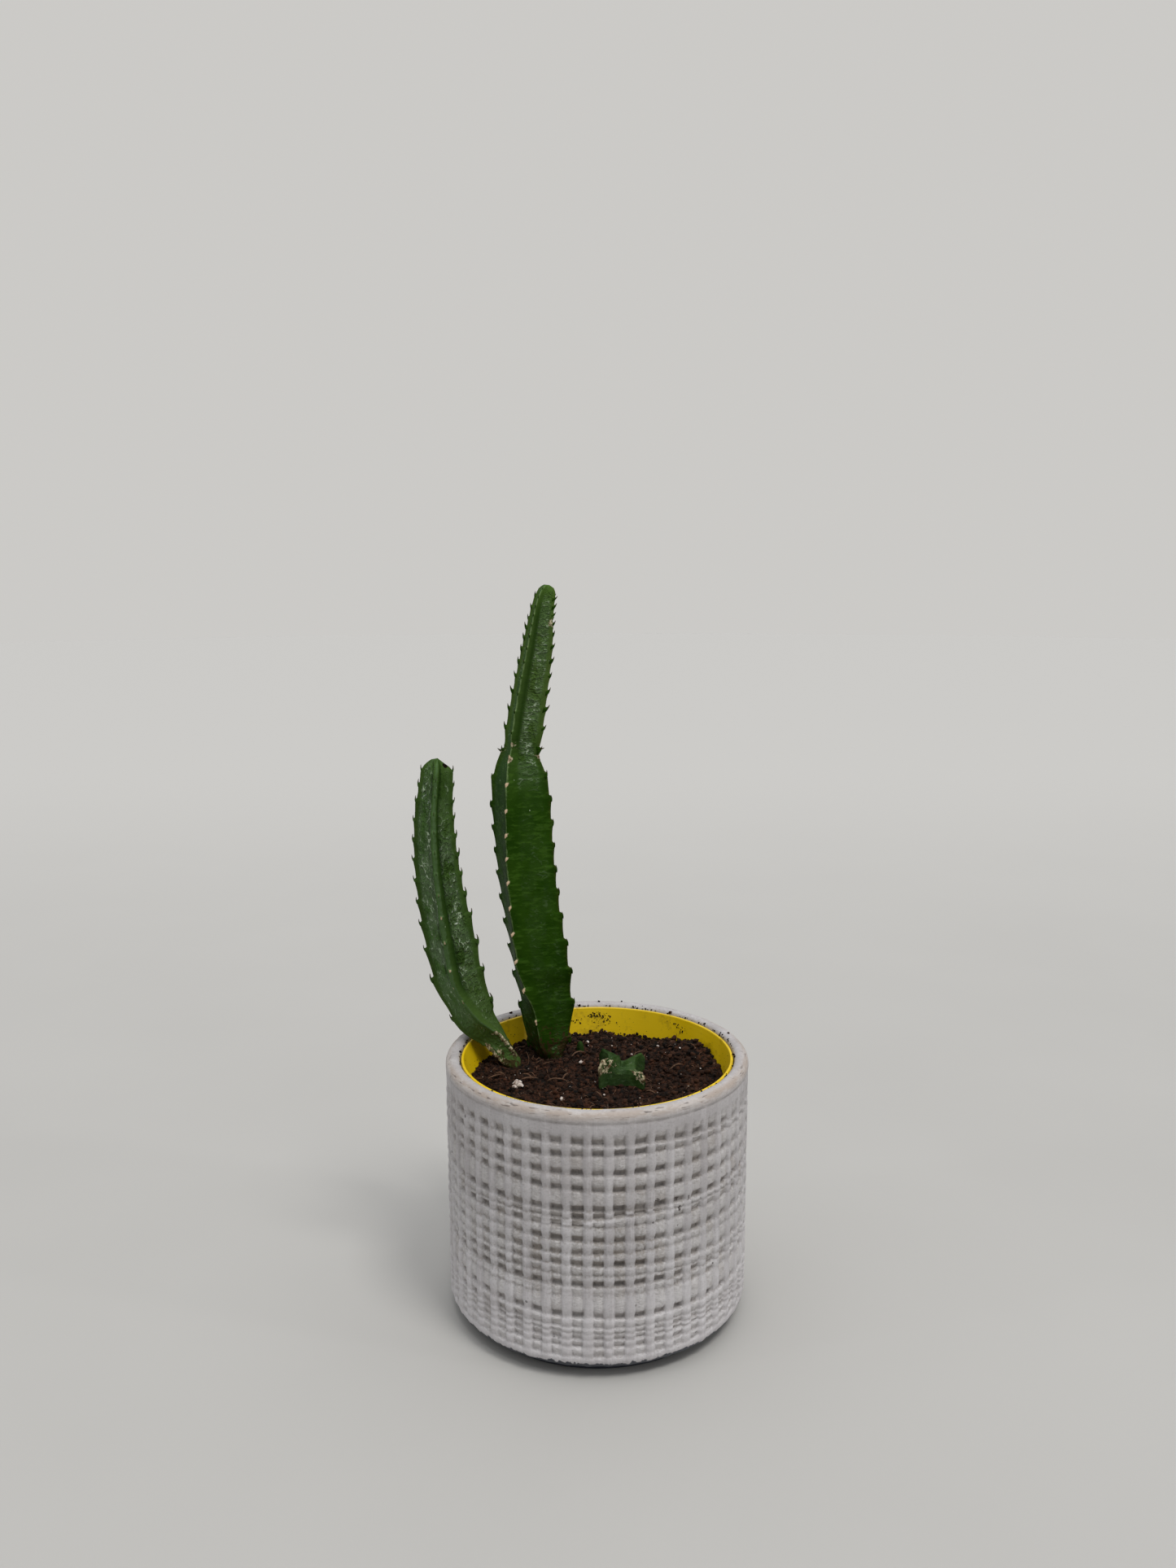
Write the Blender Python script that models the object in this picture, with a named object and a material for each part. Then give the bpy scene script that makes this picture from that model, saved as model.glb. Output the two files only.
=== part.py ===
"""A four-ribbed columnar succulent with two stems and a cutting, in soil, in a thin nursery
pot that stands inside a round cover pot with a woven relief. Metres, +Z up. The origin is the
centre of the cover pot's base. +X is the right-hand side and -Y the front."""

import math

import bmesh
import bpy
from mathutils import Vector, noise

# Cover pot
POT_RADIUS = 0.0700
POT_HEIGHT = 0.1216
POT_BORE = 0.0632  # inner radius
POT_FLOOR = 0.0100  # height of the inner floor
FOOT_RADIUS = 0.0604
FOOT_HEIGHT = 0.0036
CORNER_HEIGHT = 0.0105  # where the rounded lower edge meets the wall
RIM_BAND = 0.0115  # plain height below the rim's top
PLAIN_SIDES = 72

# Woven relief on the cover pot
COLUMNS = 48
SAMPLES = (0.0, 0.27, 0.73)  # places across a column: the window's middle, then the cords' edges
ROW_GROOVES = (
    0.1096,
    0.1046,
    0.0962,
    0.0889,
    0.0797,
    0.0662,
    0.0559,
    0.0459,
    0.0314,
    0.0224,
    0.0155,
)
GROOVE_LIP = 0.0025  # height from a groove up to the bulge that hangs over it
CORD_DIP = 0.0003  # how far a cord dips where it crosses a groove
BULGE_DEPTH = 0.0007
GROOVE_DEPTH = 0.0024
ROW_WAVE = 0.0006  # how far the rows wander up and down

# Nursery pot
NURSERY_GAP = 0.0003
NURSERY_TOP = 0.1201
NURSERY_LIP_RADIUS = 0.0627
NURSERY_LIP_HEIGHT = 0.0070
NURSERY_LIP_THICKNESS = 0.0014
NURSERY_WALL_TOP_RADIUS = 0.0603
NURSERY_BASE_RADIUS = 0.0440
NURSERY_THICKNESS = 0.0011
NURSERY_SIDES = 54
DRAIN_HOLES = 5
DRAIN_RADIUS = 0.0045
DRAIN_CIRCLE = 0.0270

# Soil
SOIL_LEVEL = 0.1070
SOIL_GAP = 0.0003
SOIL_SIDES = 48
SOIL_RINGS = 10
SOIL_ROUGHNESS = 0.0013
MOUND_PLACE = (0.046, 0.026)
MOUND_HEIGHT = 0.0055
MOUND_SPREAD = 0.018
PLUG_DEPTH = 0.022
PLUG_CLEARANCE = 0.0003
DIP_DEPTH = 0.0018  # how far the soil sinks round each plug
DIP_REACH = 0.0040  # how far past a plug the dip goes
STUB_DIP_REACH = 0.0145

# Stems: four ribs, with teeth in pairs on opposite ribs
RIBS = 4
QUARTER = 90.0  # degrees from one rib to the next
SHOULDER_ANGLE = 7.0  # degrees from a rib's crest to where its edge rounds off
FACE_ANGLE = 29.0  # degrees from a rib's crest to the hollow of the face
TIP_ROUNDING = 0.10  # how much fuller the faces get at the very tip
TIP_LENGTH = 0.0050
TIP_CROWN = 0.0012  # height of the rounded end over the last level
BASE_LENGTH = 0.0060  # over which the round plug turns into the ribbed section
BASE_LEVELS = (0.0, 0.0022, 0.0060, 0.0110, 0.0160, 0.0210, 0.0270)  # below the lowest teeth
NOTCH_RISE = 0.0011  # from a tooth's root up to the notch above it
SHOULDER_SWING = 0.4  # share of an edge's swing at the rib's shoulders
TOOTH_OUT = 0.0009
TOOTH_OUT_SHARE = 0.02  # more of it on a wider rib
TOOTH_UP = 0.0018
SMOOTH_STEPS = 12
SAME_LEVEL = 1e-7
SLIP_START = 0.020  # from the entry up to where a rib has slipped by its full amount
SLIP_END = 0.012  # the same down from the tip

TALL_ENTRY = (-0.0225, 0.0320, SOIL_LEVEL)
TALL_PLUG_RADIUS = 0.0060
# Each station is x, y, z from the entry, the ribs' reach and their turn in degrees
TALL_STATIONS = (
    (0.0000, 0.000, 0.0000, 0.0060, -14),
    (-0.0010, 0.000, 0.0075, 0.0108, -17),
    (-0.0016, 0.000, 0.0146, 0.0124, -17),
    (-0.0022, 0.000, 0.0291, 0.0144, -25),
    (-0.0047, 0.000, 0.0476, 0.0174, -35),
    (-0.0096, 0.000, 0.0800, 0.0166, -31),
    (-0.0118, 0.000, 0.1040, 0.0162, -28),
    (-0.0132, 0.000, 0.1290, 0.0154, -23),
    (-0.0133, 0.000, 0.1410, 0.0133, -24),
    (-0.0126, 0.000, 0.1500, 0.0097, -28),
    (-0.0112, 0.000, 0.1590, 0.0102, -30),
    (-0.0081, 0.000, 0.1777, 0.0095, -31),
    (-0.0048, 0.000, 0.1966, 0.0084, -31),
    (-0.0027, 0.000, 0.2115, 0.0066, -31),
    (-0.0013, 0.000, 0.2190, 0.0057, -31),
    (0.0003, 0.000, 0.2242, 0.0044, -31),
    (0.0010, 0.000, 0.2262, 0.0027, -31),
)
# Share of the stem's length against the distance between teeth along a rib
TALL_PITCH = (
    (0.06, 0.0198),
    (0.15, 0.0146),
    (0.28, 0.0128),
    (0.34, 0.0116),
    (0.48, 0.0110),
    (0.58, 0.0124),
    (0.65, 0.0114),
    (0.70, 0.0094),
    (0.78, 0.0077),
    (0.86, 0.0062),
    (0.92, 0.0043),
    (1.00, 0.0036),
)
TALL_FIRST_TOOTH = 0.0089
TALL_OTHER_PAIR = 0.62  # share of a pitch by which the other pair of ribs is behind
TALL_SLIPS = (0.0, 0.0, 0.0034, 0.0)  # how far down each rib and its teeth have slipped
# Share of the stem's length against the share of the ribs' reach left in the middle of a face
TALL_HOLLOWS = (
    (0.05, 0.72),
    (0.15, 0.69),
    (0.45, 0.67),
    (0.60, 0.63),
    (0.66, 0.58),
    (0.75, 0.55),
    (1.00, 0.54),
)
# Share of the length against the share of the reach by which an edge widens up to each tooth
TALL_SWING = ((0.0, 0.15), (0.25, 0.12), (0.42, 0.08), (1.0, 0.08))

SHORT_ENTRY = (-0.0402, 0.0200, SOIL_LEVEL)
SHORT_PLUG_RADIUS = 0.0042
SHORT_STATIONS = (
    (0.0000, 0.0000, 0.0000, 0.0042, 60),
    (-0.0018, -0.0003, 0.0030, 0.0052, 60),
    (-0.0038, -0.0006, 0.0060, 0.0058, 60),
    (-0.0060, -0.0012, 0.0095, 0.0062, 58),
    (-0.0081, -0.0018, 0.0130, 0.0065, 53),
    (-0.0106, -0.0026, 0.0165, 0.0070, 46),
    (-0.0131, -0.0034, 0.0195, 0.0078, 38),
    (-0.0156, -0.0040, 0.0226, 0.0089, 28),
    (-0.0174, -0.0044, 0.0260, 0.0099, 18),
    (-0.0205, -0.0050, 0.0335, 0.0109, 6),
    (-0.0248, -0.0060, 0.0456, 0.0120, -3),
    (-0.0284, -0.0078, 0.0663, 0.0120, -2),
    (-0.0315, -0.0100, 0.0861, 0.0109, 3),
    (-0.0333, -0.0116, 0.1056, 0.0099, 5),
    (-0.0336, -0.0120, 0.1246, 0.0087, 6),
    (-0.0326, -0.0120, 0.1350, 0.0078, 5),
    (-0.0318, -0.0120, 0.1435, 0.0071, 4),
    (-0.0315, -0.0120, 0.1472, 0.0054, 4),
    (-0.0314, -0.0120, 0.1495, 0.0028, 4),
)
SHORT_PITCH = (
    (0.23, 0.0190),
    (0.35, 0.0142),
    (0.45, 0.0132),
    (0.53, 0.0105),
    (0.66, 0.0095),
    (0.78, 0.0087),
    (0.90, 0.0072),
    (1.00, 0.0062),
)
SHORT_FIRST_TOOTH = 0.0350
SHORT_OTHER_PAIR = 0.47
SHORT_SLIPS = (-0.0010, 0.0, 0.0, 0.0)
SHORT_HOLLOWS = ((0.10, 0.66), (0.30, 0.62), (0.60, 0.59), (1.00, 0.58))
SHORT_SWING = ((0.0, 0.10), (0.22, 0.15), (0.45, 0.11), (0.80, 0.07), (1.0, 0.06))

# Stub of a cutting, broken off just above the soil
STUB_ENTRY = (0.0116, 0.0010, SOIL_LEVEL)
STUB_PLUG_RADIUS = 0.0060
STUB_REACH = 0.0150
STUB_TURN = 43.0
STUB_HOLLOW = 0.44
STUB_UNDERSIDE = -0.0008  # height of the ribs' lower edges over the soil's level
STUB_RIB_TOPS = (0.0092, 0.0112, 0.0128, 0.0066)  # back right, back left, front left, front right
STUB_HEART = 0.0066  # height of the broken middle
STUB_BEVEL = 0.0018  # how far down the ribs' ends are worn round
STUB_WORN_SHARE = 0.88  # share of the reach at the broken top

# Tip of another cutting, just above the soil
NUB_ENTRY = (-0.0080, 0.0360, SOIL_LEVEL)
NUB_RADIUS = 0.0018
NUB_HEIGHT = 0.0050
NUB_DEPTH = 0.0060
NUB_SIDES = 8


def between(points, place):
    """The value at a place, read along straight lines through (place, value) points."""
    for (start, low), (end, high) in zip(points, points[1:]):
        if place <= end:
            share = max(0.0, (place - start) / (end - start))
            return low + (high - low) * share
    return points[-1][1]


def ring(bm, count, place):
    """A closed ring of vertices. place takes a share of the full turn and gives a point."""
    return [bm.verts.new(place(step / count)) for step in range(count)]


def round_ring(bm, count, radius, height, centre=(0.0, 0.0)):
    def place(share):
        angle = 2 * math.pi * share
        return (centre[0] + radius * math.cos(angle), centre[1] + radius * math.sin(angle), height)

    return ring(bm, count, place)


def join(bm, lower, upper):
    """Faces between two rings, one of which may have twice as many vertices as the other."""
    if len(lower) == len(upper):
        for step, vertex in enumerate(lower):
            after = (step + 1) % len(lower)
            bm.faces.new((vertex, lower[after], upper[after]))
            bm.faces.new((vertex, upper[after], upper[step]))
        return
    coarse, fine = sorted((lower, upper), key=len)
    for step, vertex in enumerate(coarse):
        after = coarse[(step + 1) % len(coarse)]
        first, middle, last = (fine[(2 * step + more) % len(fine)] for more in range(3))
        bm.faces.new((vertex, first, middle))
        bm.faces.new((vertex, middle, after))
        bm.faces.new((after, middle, last))


def close(bm, edge, tip):
    """A fan of faces from a ring to one point."""
    middle = bm.verts.new(tip)
    for step, vertex in enumerate(edge):
        bm.faces.new((vertex, edge[(step + 1) % len(edge)], middle))


def join_all(bm, rings):
    for lower, upper in zip(rings, rings[1:]):
        join(bm, lower, upper)


def material(name, colour, roughness):
    made = bpy.data.materials.new(name)
    made.use_nodes = True
    shader = made.node_tree.nodes["Principled BSDF"]
    shader.inputs["Base Color"].default_value = (*colour, 1.0)
    shader.inputs["Roughness"].default_value = roughness
    shader.inputs["Metallic"].default_value = 0.0
    made.diffuse_color = (*colour, 1.0)
    return made


def piece(name, bm, finish, place, parent, sharp_angle=40.0):
    """Turns a mesh under construction into a named object at its place."""
    bmesh.ops.recalc_face_normals(bm, faces=bm.faces[:])
    mesh = bpy.data.meshes.new(name)
    bm.to_mesh(mesh)
    bm.free()
    mesh.materials.append(finish)
    mesh.shade_smooth()
    mesh.set_sharp_from_angle(angle=math.radians(sharp_angle))
    made = bpy.data.objects.new(name, mesh)
    bpy.context.scene.collection.objects.link(made)
    made.location = place
    made.parent = parent
    return made


def subtract(target, cutters):
    """Takes the cutters out of the target and removes them."""
    helpers = bpy.data.collections.new(target.name + "_cutters")
    bpy.context.scene.collection.children.link(helpers)
    for cutter in cutters:
        cutter.hide_render = True
        cutter.display_type = "WIRE"
        bpy.context.scene.collection.objects.unlink(cutter)
        helpers.objects.link(cutter)
    cut = target.modifiers.new("holes", "BOOLEAN")
    cut.operation = "DIFFERENCE"
    cut.operand_type = "COLLECTION"
    cut.collection = helpers
    cut.solver = "EXACT"
    bpy.context.view_layer.objects.active = target
    with bpy.context.temp_override(object=target, active_object=target):
        bpy.ops.object.modifier_apply(modifier=cut.name)
    for cutter in cutters:
        bpy.data.objects.remove(cutter)
    bpy.data.collections.remove(helpers)


def rod(name, radius, bottom, top, centre, sides, parent):
    """A plain upright cylinder, used as a cutter."""
    bm = bmesh.new()
    lower = round_ring(bm, sides, radius, bottom, centre)
    upper = round_ring(bm, sides, radius, top, centre)
    join(bm, lower, upper)
    close(bm, lower, (*centre, bottom))
    close(bm, upper, (*centre, top))
    return piece(name, bm, None, (0.0, 0.0, 0.0), parent)


def pot_outline(height):
    """The cover pot's outer radius at a height, with its rounded lower edge."""
    if height >= CORNER_HEIGHT:
        return POT_RADIUS
    rise = (CORNER_HEIGHT - height) / (CORNER_HEIGHT - FOOT_HEIGHT)
    inset = POT_RADIUS - FOOT_RADIUS
    return FOOT_RADIUS + inset * math.sqrt(max(0.0, 1.0 - rise * rise))


def relief_ring(bm, height, cord_depth, window_depth):
    """One level of the woven relief: flat cords with a window set back between them."""
    count = COLUMNS * len(SAMPLES)

    def place(share):
        column, sample = divmod(round(share * count), len(SAMPLES))
        depth = cord_depth if sample else window_depth
        angle = 2 * math.pi * (column + SAMPLES[sample]) / COLUMNS
        wander = noise.noise(Vector((3 * math.cos(angle), 3 * math.sin(angle), 60 * height)))
        level = height + ROW_WAVE * wander
        radius = pot_outline(height) - depth
        return (radius * math.cos(angle), radius * math.sin(angle), level)

    return ring(bm, count, place)


def make_cover_pot(finish, parent):
    bm = bmesh.new()
    base = round_ring(bm, PLAIN_SIDES, FOOT_RADIUS - 0.0006, 0.0)
    close(bm, base, (0.0, 0.0, 0.0))
    rings = [base, round_ring(bm, PLAIN_SIDES, FOOT_RADIUS, 0.0006)]
    rings.append(round_ring(bm, PLAIN_SIDES, FOOT_RADIUS + 0.0002, FOOT_HEIGHT))
    corner_middle = (FOOT_HEIGHT + CORNER_HEIGHT) / 2
    rings.append(relief_ring(bm, FOOT_HEIGHT + 0.0009, 0.0000, 0.0004))
    rings.append(relief_ring(bm, corner_middle, 0.0000, BULGE_DEPTH))
    for groove in reversed(ROW_GROOVES):
        rings.append(relief_ring(bm, groove, CORD_DIP, GROOVE_DEPTH))
        rings.append(relief_ring(bm, groove + GROOVE_LIP, 0.0, BULGE_DEPTH))
    band_foot = POT_HEIGHT - RIM_BAND + 0.0050
    rim = (
        (POT_RADIUS - 0.0004, band_foot),
        (POT_RADIUS - 0.0002, POT_HEIGHT - 0.0030),
        (POT_RADIUS - 0.0010, POT_HEIGHT - 0.0012),
        (POT_RADIUS - 0.0028, POT_HEIGHT),
        (POT_BORE + 0.0014, POT_HEIGHT - 0.0002),
        (POT_BORE, POT_HEIGHT - 0.0014),
        (POT_BORE, POT_FLOOR + 0.0020),
        (POT_BORE - 0.0020, POT_FLOOR),
    )
    for radius, height in rim:
        rings.append(round_ring(bm, PLAIN_SIDES, radius, height))
    join_all(bm, rings)
    close(bm, rings[-1], (0.0, 0.0, POT_FLOOR))
    return piece("outer_pot", bm, finish, (0.0, 0.0, 0.0), parent)


def nursery_wall(height):
    """The nursery pot's outer wall radius at a height over its underside."""
    full = NURSERY_TOP - NURSERY_LIP_HEIGHT - POT_FLOOR - NURSERY_GAP
    return NURSERY_BASE_RADIUS + (NURSERY_WALL_TOP_RADIUS - NURSERY_BASE_RADIUS) * height / full


def make_nursery_pot(finish, parent):
    underside = POT_FLOOR + NURSERY_GAP
    top = NURSERY_TOP - underside
    step = top - NURSERY_LIP_HEIGHT
    lip_inside = NURSERY_LIP_RADIUS - NURSERY_LIP_THICKNESS
    outline = (
        (nursery_wall(0.0) - 0.0010, 0.0),
        (nursery_wall(0.0), 0.0010),
        (nursery_wall(step), step),
        (NURSERY_LIP_RADIUS - 0.0003, step + 0.0002),
        (NURSERY_LIP_RADIUS, top - 0.0006),
        (NURSERY_LIP_RADIUS - 0.0005, top),
        (lip_inside + 0.0003, top),
        (lip_inside, top - 0.0006),
        (nursery_wall(step) - NURSERY_THICKNESS, step - 0.0010),
        (nursery_wall(0.0) - NURSERY_THICKNESS, NURSERY_THICKNESS),
    )
    bm = bmesh.new()
    rings = [round_ring(bm, NURSERY_SIDES, radius, height) for radius, height in outline]
    join_all(bm, rings)
    close(bm, rings[0], (0.0, 0.0, 0.0))
    close(bm, rings[-1], (0.0, 0.0, NURSERY_THICKNESS))
    made = piece("nursery_pot", bm, finish, (0.0, 0.0, underside), parent)
    holes = []
    for index in range(DRAIN_HOLES):
        angle = 2 * math.pi * (index + 0.5) / DRAIN_HOLES
        centre = (DRAIN_CIRCLE * math.cos(angle), DRAIN_CIRCLE * math.sin(angle))
        low, high = underside - 0.002, underside + 0.003
        holes.append(rod(f"drain_{index}", DRAIN_RADIUS, low, high, centre, 8, parent))
    subtract(made, holes)
    return made


def plugs():
    """Entry point, radius, depth and reach of the dip round everything that stands in the soil."""
    return (
        (TALL_ENTRY, TALL_PLUG_RADIUS, PLUG_DEPTH, DIP_REACH),
        (SHORT_ENTRY, SHORT_PLUG_RADIUS, PLUG_DEPTH, DIP_REACH),
        (STUB_ENTRY, STUB_PLUG_RADIUS, PLUG_DEPTH, STUB_DIP_REACH),
        (NUB_ENTRY, NUB_RADIUS, NUB_DEPTH, DIP_REACH / 2),
    )


def soil_surface(x, y):
    """Height of the soil: crumbly, with a mound at the back right and a dip round each plug."""
    rough = noise.noise(Vector((x, y, 0.0)) * 95.0) + 0.5 * noise.noise(Vector((x, y, 0.03)) * 260.0)
    away = math.hypot(x - MOUND_PLACE[0], y - MOUND_PLACE[1])
    height = SOIL_LEVEL + SOIL_ROUGHNESS * rough + MOUND_HEIGHT * math.exp(-((away / MOUND_SPREAD) ** 2))
    for entry, radius, _, reach in plugs():
        near = math.hypot(x - entry[0], y - entry[1]) / (reach + radius)
        dipped = SOIL_LEVEL - DIP_DEPTH
        height += (dipped - height) * math.exp(-(near ** 4))
    return height


def make_soil(finish, parent):
    underside = POT_FLOOR + NURSERY_GAP + NURSERY_THICKNESS + SOIL_GAP
    inner = NURSERY_THICKNESS + SOIL_GAP
    wall_foot = nursery_wall(0.0) - inner
    wall_top = nursery_wall(SOIL_LEVEL - POT_FLOOR) - inner - 0.0002
    bm = bmesh.new()
    bottom = round_ring(bm, SOIL_SIDES, wall_foot - 0.0004, underside)
    close(bm, bottom, (0.0, 0.0, underside))
    rings = [bottom]
    for index in range(SOIL_RINGS):
        radius = wall_top * (1.0 - (index / SOIL_RINGS) ** 1.15)

        def place(share, radius=radius):
            angle = 2 * math.pi * share
            x, y = radius * math.cos(angle), radius * math.sin(angle)
            return (x, y, soil_surface(x, y))

        rings.append(ring(bm, SOIL_SIDES, place))
    join_all(bm, rings)
    close(bm, rings[-1], (0.0, 0.0, soil_surface(0.0, 0.0)))
    made = piece("soil", bm, finish, (0.0, 0.0, 0.0), parent, sharp_angle=60.0)
    holes = []
    for index, (entry, radius, depth, _) in enumerate(plugs()):
        low = SOIL_LEVEL - depth - 2 * PLUG_CLEARANCE
        top = SOIL_LEVEL + 0.020
        width = radius + PLUG_CLEARANCE
        holes.append(rod(f"hole_{index}", width * 1.02, low, top, entry[:2], 20, parent))
    subtract(made, holes)
    return made


def smooth_stations(stations):
    """Closely spaced stations on a smooth curve through the given ones."""
    dense = []
    last = len(stations) - 1
    for index in range(last):
        four = [stations[min(max(index + more, 0), last)] for more in (-1, 0, 1, 2)]
        for step in range(SMOOTH_STEPS):
            t = step / SMOOTH_STEPS
            weights = (
                (-t + 2 * t * t - t ** 3) / 2,
                (2 - 5 * t * t + 3 * t ** 3) / 2,
                (t + 4 * t * t - 3 * t ** 3) / 2,
                (-t * t + t ** 3) / 2,
            )
            dense.append([sum(w * row[axis] for w, row in zip(weights, four)) for axis in range(5)])
    dense.append(list(stations[last]))
    return dense


class Spine:
    """A stem's middle line, read by the length along it from the soil."""

    def __init__(self, stations):
        self.rows = smooth_stations(stations)
        self.lengths = [0.0]
        for before, after in zip(self.rows, self.rows[1:]):
            self.lengths.append(self.lengths[-1] + math.dist(before[:3], after[:3]))
        self.length = self.lengths[-1]

    def row(self, along):
        """Point, reach and turn at a length along the line."""
        for index in range(len(self.rows) - 1):
            if along <= self.lengths[index + 1]:
                break
        start, end = self.lengths[index], self.lengths[index + 1]
        share = min(1.0, max(0.0, (along - start) / (end - start)))
        mixed = [low + (high - low) * share for low, high in zip(self.rows[index], self.rows[index + 1])]
        return Vector(mixed[:3]), mixed[3], math.radians(mixed[4])

    def frame(self, along):
        """The two directions across the stem and the one along it."""
        before = self.row(max(0.0, along - 0.002))[0]
        after = self.row(min(self.length, along + 0.002))[0]
        upward = (after - before).normalized()
        side = (Vector((1.0, 0.0, 0.0)) - upward * upward.x).normalized()
        return side, upward.cross(side), upward


def section_share(angle, hollow):
    """Radius of the ribbed section over the ribs' reach: a round when hollow is 1, else a star."""
    power = 1.0 / (0.5 - math.log2(hollow))
    spread = abs(math.cos(angle)) ** power + abs(math.sin(angle)) ** power
    return spread ** (-1.0 / power)


def section_angles():
    """Each vertex of a ribbed section: its rib and its angle past that rib's crest."""
    turns = (0.0, SHOULDER_ANGLE, FACE_ANGLE, QUARTER - FACE_ANGLE, QUARTER - SHOULDER_ANGLE)
    return [(rib, turn) for rib in range(RIBS) for turn in turns]


def nearest_rib(rib, turn):
    return (rib + (1 if turn > QUARTER / 2 else 0)) % RIBS


def tooth_places(spine, pitch_points, first, behind):
    """Lengths along the stem at which the teeth stand, for each pair of ribs."""
    pairs = ([], [])
    end = spine.length - TIP_LENGTH / 2
    along = first
    while along < end:
        pitch = between(pitch_points, along / spine.length)
        pairs[0].append(along)
        if along + behind * pitch < end:
            pairs[1].append(along + behind * pitch)
        along += pitch
    return pairs


def edge_growth(along, teeth, swing):
    """How far a rib's edge stands out: it widens slowly up to each tooth, then steps in."""
    above = next((tooth for tooth in teeth if tooth >= along - SAME_LEVEL), None)
    below = max((tooth for tooth in teeth if tooth < along - SAME_LEVEL), default=None)
    if above is None or below is None:
        return 0.0
    return swing * ((along - below) / (above - below) - 0.5)


def hollow_at(along, length, hollows):
    """How hollow the faces are: not at all at the round base, less again at the tip."""
    opened = min(1.0, along / BASE_LENGTH)
    tip = max(0.0, 1.0 - (length - along) / TIP_LENGTH)
    return 1.0 - (1.0 - between(hollows, along / length)) * opened + TIP_ROUNDING * tip


def plug_rings(bm, radius, turned):
    """The round plug in the soil, narrowed at its foot."""
    rings = []
    for depth, share in ((PLUG_DEPTH, 0.6), (PLUG_DEPTH - 0.0015, 1.0), (0.0015, 1.0)):
        placed = []
        for rib, turn in section_angles():
            angle = math.radians(QUARTER * rib + turn + turned)
            across = (radius * share * math.cos(angle), radius * share * math.sin(angle))
            placed.append(bm.verts.new((*across, -depth)))
        rings.append(placed)
    return rings


def slip_share(along, length):
    """The share of its slip that a rib has at a length along the stem: none at the ends."""
    return max(0.0, min(1.0, along / SLIP_START, (length - along) / SLIP_END))


def stem_ring(bm, spine, along, hollows, swings, slips, pairs):
    """One level of a stem's ribbed section. A rib's crest is drawn out into a tooth."""
    reach_here = spine.row(along)[1]
    side, across, upward = spine.frame(along)
    hollow = hollow_at(along, spine.length, hollows)
    swing = reach_here * between(swings, along / spine.length)
    slipped = slip_share(along, spine.length)
    placed = []
    for rib, turn in section_angles():
        nearest = nearest_rib(rib, turn)
        teeth = pairs[nearest % 2]
        from_crest = min(turn, QUARTER - turn)
        slip = slips[nearest] * slipped * (1.0 - from_crest / (QUARTER / 2))
        centre, reach, turned = spine.row(along - slip)
        radius = reach * section_share(math.radians(turn), hollow)
        lift = 0.0
        if from_crest == 0.0:
            radius += edge_growth(along, teeth, swing)
            if any(abs(along - tooth) < SAME_LEVEL for tooth in teeth):
                radius += TOOTH_OUT + TOOTH_OUT_SHARE * reach
                lift = TOOTH_UP
        elif from_crest == SHOULDER_ANGLE:
            radius += SHOULDER_SWING * edge_growth(along, teeth, swing)
        direction = math.radians(QUARTER * rib + turn) + turned
        outward = side * math.cos(direction) + across * math.sin(direction)
        placed.append(bm.verts.new(centre + outward * radius + upward * lift))
    return placed


def make_stem(name, entry, plug_radius, stations, looks, teeth, finish, parent):
    spine = Spine(stations)
    pairs = tooth_places(spine, *teeth)
    levels = list(BASE_LEVELS)
    for tooth in pairs[0] + pairs[1]:
        levels += [tooth, tooth + NOTCH_RISE]
    bm = bmesh.new()
    rings = plug_rings(bm, plug_radius, stations[0][4])
    for level in sorted(levels):
        rings.append(stem_ring(bm, spine, level, *looks, pairs))
    rings.append(stem_ring(bm, spine, spine.length, *looks, ([], [])))
    join_all(bm, rings)
    close(bm, rings[0], (0.0, 0.0, -PLUG_DEPTH))
    tip = spine.row(spine.length)[0] + spine.frame(spine.length)[2] * TIP_CROWN
    close(bm, rings[-1], tip)
    return piece(name, bm, finish, entry, parent)


def stub_ring(bm, hollow, reach, height_of):
    """One level of the stub. height_of takes the nearest rib and the angle from its crest."""
    placed = []
    for rib, turn in section_angles():
        radius = reach * section_share(math.radians(turn), hollow)
        angle = math.radians(QUARTER * rib + turn + STUB_TURN)
        height = height_of(nearest_rib(rib, turn), min(turn, QUARTER - turn))
        placed.append(bm.verts.new((radius * math.cos(angle), radius * math.sin(angle), height)))
    return placed


def make_stub(finish, parent):
    """A short four-winged stump. Its ribs end in broken tops of different heights."""

    def top(rib, from_crest):
        crest = STUB_RIB_TOPS[rib]
        return crest + (STUB_HEART - crest) * min(1.0, from_crest / FACE_ANGLE)

    def flat(height):
        return lambda rib, from_crest: height

    bm = bmesh.new()
    rings = plug_rings(bm, STUB_PLUG_RADIUS, STUB_TURN)
    rings.append(stub_ring(bm, STUB_HOLLOW, STUB_REACH * 0.96, flat(STUB_UNDERSIDE)))
    rings.append(stub_ring(bm, STUB_HOLLOW, STUB_REACH, lambda rib, turn: top(rib, turn) - STUB_BEVEL))
    rings.append(stub_ring(bm, STUB_HOLLOW, STUB_REACH * STUB_WORN_SHARE, top))
    join_all(bm, rings)
    close(bm, rings[0], (0.0, 0.0, -PLUG_DEPTH))
    close(bm, rings[-1], (0.0, 0.0, STUB_HEART - 0.0010))
    return piece("stub_cutting", bm, finish, STUB_ENTRY, parent)


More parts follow.
